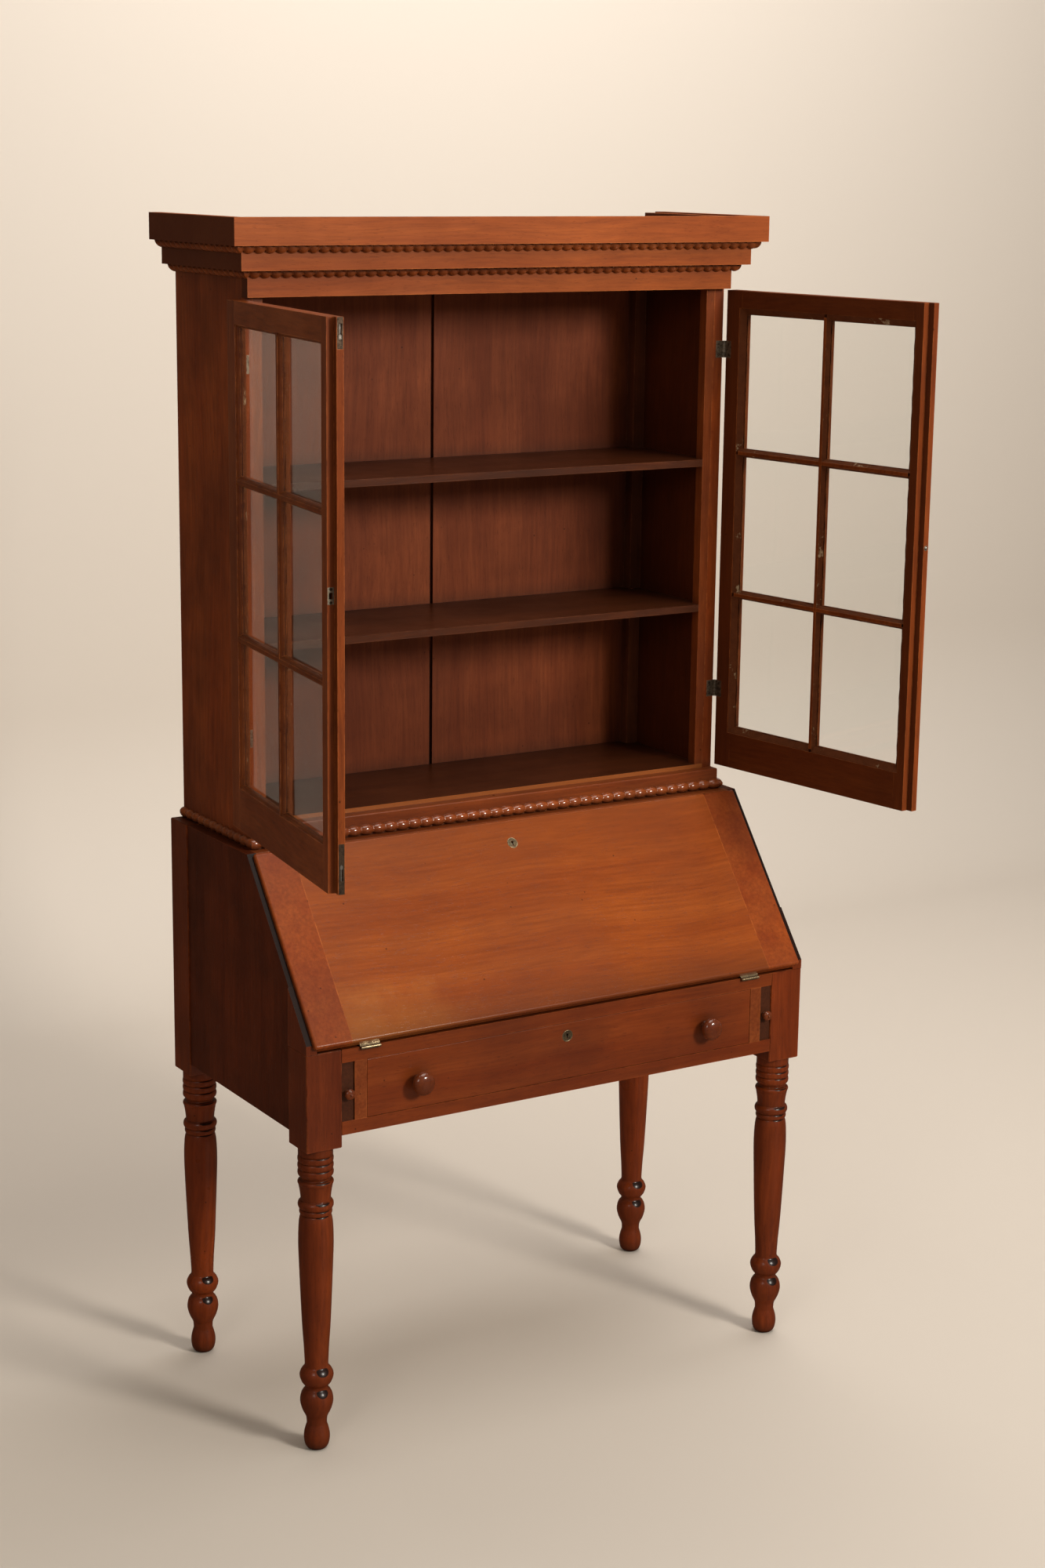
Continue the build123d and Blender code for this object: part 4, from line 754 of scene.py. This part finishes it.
cornice_rope = wood("cornice_rope", along="x", dark=(0.08, 0.018, 0.005), mid=(0.27, 0.066, 0.015),
                    light=(0.44, 0.13, 0.03), gloss=0.3, dirt=1.0, coat=0.3)
foot_rope = wood("foot_rope", along="x", dark=(0.05, 0.011, 0.004), mid=(0.38, 0.092, 0.023),
                 light=(0.52, 0.16, 0.04), gloss=0.2, dirt=0.7, coat=1.0, coat_rough=0.06)
band_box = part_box("base_band")
fascia_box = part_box("lower_fascia")
for name, node_name, box in (("cornice_lower_rope", "lower_rope", band_box),
                             ("cornice_upper_rope", "upper_rope", fascia_box)):
    rope_round(name, node_name, box[1][0], box[0][1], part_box(node_name)[1][2], 0.0135, 0.020, 0.4, cornice_rope)
low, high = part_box("base_rope")
rope_round("bookcase_foot_rope", "base_rope", band_box[1][0], band_box[0][1], (low[2] + high[2]) / 2,
           0.0098, 0.0244, 0.38, foot_rope, turn=0.0)

# ---------------------------------------------------------------- glazing bars
# Each door has one upright and two cross bars. A bar is a thin core with an ovolo stuck on each
# side of its front, and the same ovolo runs round the inside of the stiles and rails.
door_pin_x = 0.497
door_hinge_y = next(joint for joint in frame["record"]["behaviour"]["joints"]
                    if joint["name"] == "left_door_hinge")["pos_m"][1]
sight_u = (0.045, 0.467)
sight_z = (1.151, 1.935)
door_face = 0.0244
glass_face = 0.0124
bar_wide, core_wide, ovolo = 0.016, 0.0062, 0.005
pane_high = (sight_z[1] - sight_z[0] - 2 * bar_wide) / 3


def door_point(side, along, out, z):
    """A point of an open door: along it from the hinge, out of its face, and its height."""
    across = Vector((-side * cos(door_angle), -sin(door_angle), 0))
    outward = Vector((side * sin(door_angle), -cos(door_angle), 0))
    return Vector((side * door_pin_x, door_hinge_y, z)) + across * along + outward * out


def bar(shape, side, along, out, high):
    """Add a rectangular bar of a door."""
    spots = [door_point(side, a, d, z) for a in along for d in out for z in high]
    verts = [shape.verts.new(spot) for spot in spots]
    for face in ((0, 1, 3, 2), (4, 6, 7, 5), (0, 4, 5, 1), (2, 3, 7, 6), (0, 2, 6, 4), (1, 5, 7, 3)):
        shape.faces.new([verts[i] for i in face])


def pane_ring(shape, side, along, high, widths, section, jitter=None):
    """Run a closed section round the inside of one pane opening, mitred at its corners.

    Each point of the section is (share of the edge's width, distance out of the door), and widths
    are those of the near, far, low and high edges.
    """
    near, far, low, top = widths
    corners = [(along[0], high[0], near, low), (along[1], high[0], -far, low), (along[1], high[1], -far, -top),
               (along[0], high[1], near, -top)]
    rings = []
    for index, (a, z, inward_a, inward_z) in enumerate(corners):
        after = corners[(index + 1) % 4]
        steps = 1 if jitter is None else 14
        for step in range(steps):
            t = step / steps
            ring = []
            for inset, out in section:
                start = (a + inward_a * inset, z + inward_z * inset)
                end = (after[0] + after[2] * inset, after[1] + after[3] * inset)
                wobble = 0.0 if jitter is None else jitter(inset, t)
                spot = [start[axis] + (end[axis] - start[axis]) * t for axis in (0, 1)]
                spot[index % 2 == 0] += wobble * (1 if index in (0, 3) else -1)
                ring.append(shape.verts.new(door_point(side, spot[0], out, spot[1])))
            rings.append(ring)
    count = len(section)
    for index, ring in enumerate(rings):
        after = rings[(index + 1) % len(rings)]
        for i in range(count):
            shape.faces.new((ring[i], after[i], after[(i + 1) % count], ring[(i + 1) % count]))


def panes(reach):
    """The six openings of a door: limits along it, limits of height, and which edges meet the frame.

    The edges are near, far, low and high. reach is how far the opening runs into the stiles and rails.
    """
    middle = sum(sight_u) / 2
    columns = ((sight_u[0] - reach, middle - core_wide / 2), (middle + core_wide / 2, sight_u[1] + reach))
    step = pane_high + bar_wide
    for number, column in enumerate(columns):
        for row in range(3):
            low = sight_z[0] + row * step - (reach if row == 0 else (bar_wide - core_wide) / 2)
            high = sight_z[0] + row * step + pane_high + (reach if row == 2 else (bar_wide - core_wide) / 2)
            yield column, (low, high), (number == 0, number == 1, row == 0, row == 2)


ovolo_section = [(0.0, glass_face), (1.0, glass_face), (1.0, glass_face + 0.0042)]
ovolo_section += [(cos(step * pi / 12) * 0.86, glass_face + 0.0048 + 0.0052 * sin(step * pi / 12))
                  for step in range(6)]
ovolo_section += [(0.0, glass_face + 0.0102)]
bar_wood = wood("bar_wood", along="z", dark=(0.05, 0.011, 0.004), mid=(0.20, 0.048, 0.012),
                light=(0.33, 0.095, 0.024), blotch=0.4, wear=0.8, dirt=0.9)
for side, hand in ((-1, "left"), (1, "right")):
    shape = bmesh.new()
    middle = sum(sight_u) / 2
    bar(shape, side, (middle - core_wide / 2, middle + core_wide / 2), (0.001, door_face - 0.0004),
        (sight_z[0] - 0.001, sight_z[1] + 0.001))
    for row in (1, 2):
        centre = sight_z[0] + row * (pane_high + bar_wide) - bar_wide / 2
        bar(shape, side, (sight_u[0] - 0.001, sight_u[1] + 0.001), (0.0012, door_face - 0.0006),
            (centre - core_wide / 2, centre + core_wide / 2))
    for column, high, _ in panes(0.0):
        pane_ring(shape, side, column, high, (ovolo,) * 4, ovolo_section)
    new_piece(f"{hand}_sash_bars", shape, bar_wood, f"{hand}_door", [f"{hand}_glazing_bars"], smooth=False)

# ---------------------------------------------------------------- putty
# Linseed putty holds each pane in its rabbet from inside. It is stained brown with the doors, and
# chipped pale here and there along the glass.
putty = bpy.data.materials.new("putty")
tree, shader = principled(putty)
space = node(tree, "ShaderNodeTexCoord").outputs["Object"]
lumps = node(tree, "ShaderNodeTexNoise", Vector=space, Scale=60.0, Detail=5.0, Roughness=0.7).outputs["Fac"]
chips = node(tree, "ShaderNodeTexNoise", Vector=space, Scale=24.0, Detail=6.0, Roughness=0.75).outputs["Fac"]
chipped = node(tree, "ShaderNodeMapRange", i0=chips, i1=0.60, i2=0.65).outputs[0]
tone = blend(tree, lumps, (0.06, 0.015, 0.005), (0.17, 0.048, 0.015))
tone = blend(tree, chipped, tone, (0.40, 0.28, 0.16))
tree.links.new(tone, shader.inputs["Base Color"])
shader.inputs["Roughness"].default_value = 0.8
shader.inputs["Specular IOR Level"].default_value = 0.1
bump = node(tree, "ShaderNodeBump", Strength=0.6, Distance=0.0012, Height=lumps)
tree.links.new(bump.outputs[0], shader.inputs["Normal"])
putty_back = glass_face - 0.0026
for side, hand in ((-1, "left"), (1, "right")):
    shape = bmesh.new()
    for column, high, outer in panes(0.0069):
        edge = [(0.0, putty_back), (1.0, putty_back), (0.86, putty_back - 0.0011), (0.0, 0.0018)]
        widths = [0.0112 if is_outer else 0.0044 for is_outer in outer]
        pane_ring(shape, side, column, high, widths, edge,
                  lambda inset, t: 0.0006 * sin(37 * t + 2 * inset) if inset > 0.1 else 0.0)
    new_piece(f"{hand}_door_putty", shape, putty, f"{hand}_door", smooth=False)

# ---------------------------------------------------------------- screws
# Slotted countersunk screws: two in each leaf of the doors' hinges, two in each bolt plate and the
# strike plate, and three in each leaf let into the writing surface. Their slots stand at all angles.


def screw_tree():
    """Geometry nodes: a slotted head on each point, turned to its own facing."""
    tree = bpy.data.node_groups.new("slotted screws", "GeometryNodeTree")
    tree.interface.new_socket("Geometry", in_out="OUTPUT", socket_type="NodeSocketGeometry")
    tree.interface.new_socket("Geometry", in_out="INPUT", socket_type="NodeSocketGeometry")
    socket = tree.interface.new_socket("Head", in_out="INPUT", socket_type="NodeSocketFloat")
    socket.default_value = 0.0028
    socket = tree.interface.new_socket("Seed", in_out="INPUT", socket_type="NodeSocketInt")
    socket.default_value = 3
    tree.interface.new_socket("Metal", in_out="INPUT", socket_type="NodeSocketMaterial")
    given = tree.nodes.new("NodeGroupInput").outputs
    out = tree.nodes.new("NodeGroupOutput")
    disc = node(tree, "GeometryNodeMeshCylinder", Vertices=20, Radius=given["Head"], Depth=0.0006).outputs[0]
    slot_size = node(tree, "ShaderNodeCombineXYZ", X=0.02, Y=0.0007, Z=0.0005).outputs[0]
    cutter = node(tree, "GeometryNodeMeshCube", Size=slot_size).outputs[0]
    cutter = node(tree, "GeometryNodeTransform", Geometry=cutter, Translation=(0, 0, 0.0003)).outputs[0]
    cut = tree.nodes.new("GeometryNodeMeshBoolean")
    cut.operation = "DIFFERENCE"
    cut.solver = "EXACT"
    tree.links.new(disc, cut.inputs[0])
    tree.links.new(cutter, cut.inputs[1])
    facing = node(tree, "GeometryNodeInputNamedAttribute", {"data_type": "FLOAT_VECTOR"},
                  Name="facing").outputs[0]
    aligned = node(tree, "FunctionNodeAlignRotationToVector", {"axis": "Z"}, Vector=facing).outputs[0]
    angle = node(tree, "FunctionNodeRandomValue", {"data_type": "FLOAT"}, Seed=given["Seed"]).outputs[1]
    angle = node(tree, "ShaderNodeMath", {"operation": "MULTIPLY"}, i0=angle, i1=3.1).outputs[0]
    spin = node(tree, "ShaderNodeCombineXYZ", Z=angle).outputs[0]
    spin = node(tree, "FunctionNodeEulerToRotation", i0=spin).outputs[0]
    turned = node(tree, "FunctionNodeRotateRotation", {"rotation_space": "LOCAL"}, i0=aligned,
                  i1=spin).outputs[0]
    heads = node(tree, "GeometryNodeInstanceOnPoints", Points=given["Geometry"], Instance=cut.outputs[0],
                 Rotation=turned).outputs[0]
    real = node(tree, "GeometryNodeRealizeInstances", Geometry=heads).outputs[0]
    dressed = node(tree, "GeometryNodeSetMaterial", Geometry=real, Material=given["Metal"]).outputs[0]
    tree.links.new(dressed, out.inputs[0])
    return tree


slotted_screws = screw_tree()


def screws(name, body, spots, head=0.0028):
    """Screw heads at (place, facing) pairs, as one piece on a body."""
    data = bpy.data.meshes.new(name)
    data.from_pydata([place for place, facing in spots], [], [])
    facings = data.attributes.new("facing", "FLOAT_VECTOR", "POINT")
    for index, (place, facing) in enumerate(spots):
        facings.data[index].vector = facing
    piece = bpy.data.objects.new(name, data)
    bpy.context.scene.collection.objects.link(piece)
    modifier = piece.modifiers.new("screws", "NODES")
    modifier.node_group = slotted_screws
    values = {"Head": head, "Metal": dark_iron}
    for item in slotted_screws.interface.items_tree:
        if item.in_out == "INPUT" and item.name in values:
            modifier[item.identifier] = values[item.name]
    made = bpy.data.meshes.new_from_object(piece.evaluated_get(bpy.context.evaluated_depsgraph_get()))
    piece.modifiers.clear()
    piece.data = made
    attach(piece, body)


case_spots = []
hinge_heights = (1.225, 1.865)
bolt_plate_screw_heights = (1.929, 1.970, 1.083, 1.153)
strike_screw_heights = (1.5395, 1.5605)
fall_hinge_x = 0.399
for side, hand in ((-1, "left"), (1, "right")):
    outward = door_point(side, 0, 1, 0) - door_point(side, 0, 0, 0)
    door_spots = []
    for z in hinge_heights:
        for lift in (-0.0095, 0.0095):
            case_spots.append(((side * 0.4855, door_hinge_y + 0.0005, z + lift), (0, -1, 0)))
            door_spots.append((door_point(side, 0.0115, 0.0005, z + lift), -outward))
    if side < 0:
        far = door_point(side, 1, 0, 0) - door_point(side, 0, 0, 0)
        for z in bolt_plate_screw_heights:
            door_spots.append((door_point(side, 0.5026, 0.0064, z), far))
        for z in strike_screw_heights:
            door_spots.append((door_point(side, 0.4906, 0.0184, z), far))
    screws(f"{hand}_door_screws", f"{hand}_door", door_spots, 0.0024)
    for shift in (-0.012, 0.0, 0.012):
        case_spots.append(((side * fall_hinge_x + shift, front_y + 0.016, 0.7352), (0, 0, 1)))
screws("case_hinge_screws", "carcase", case_spots)
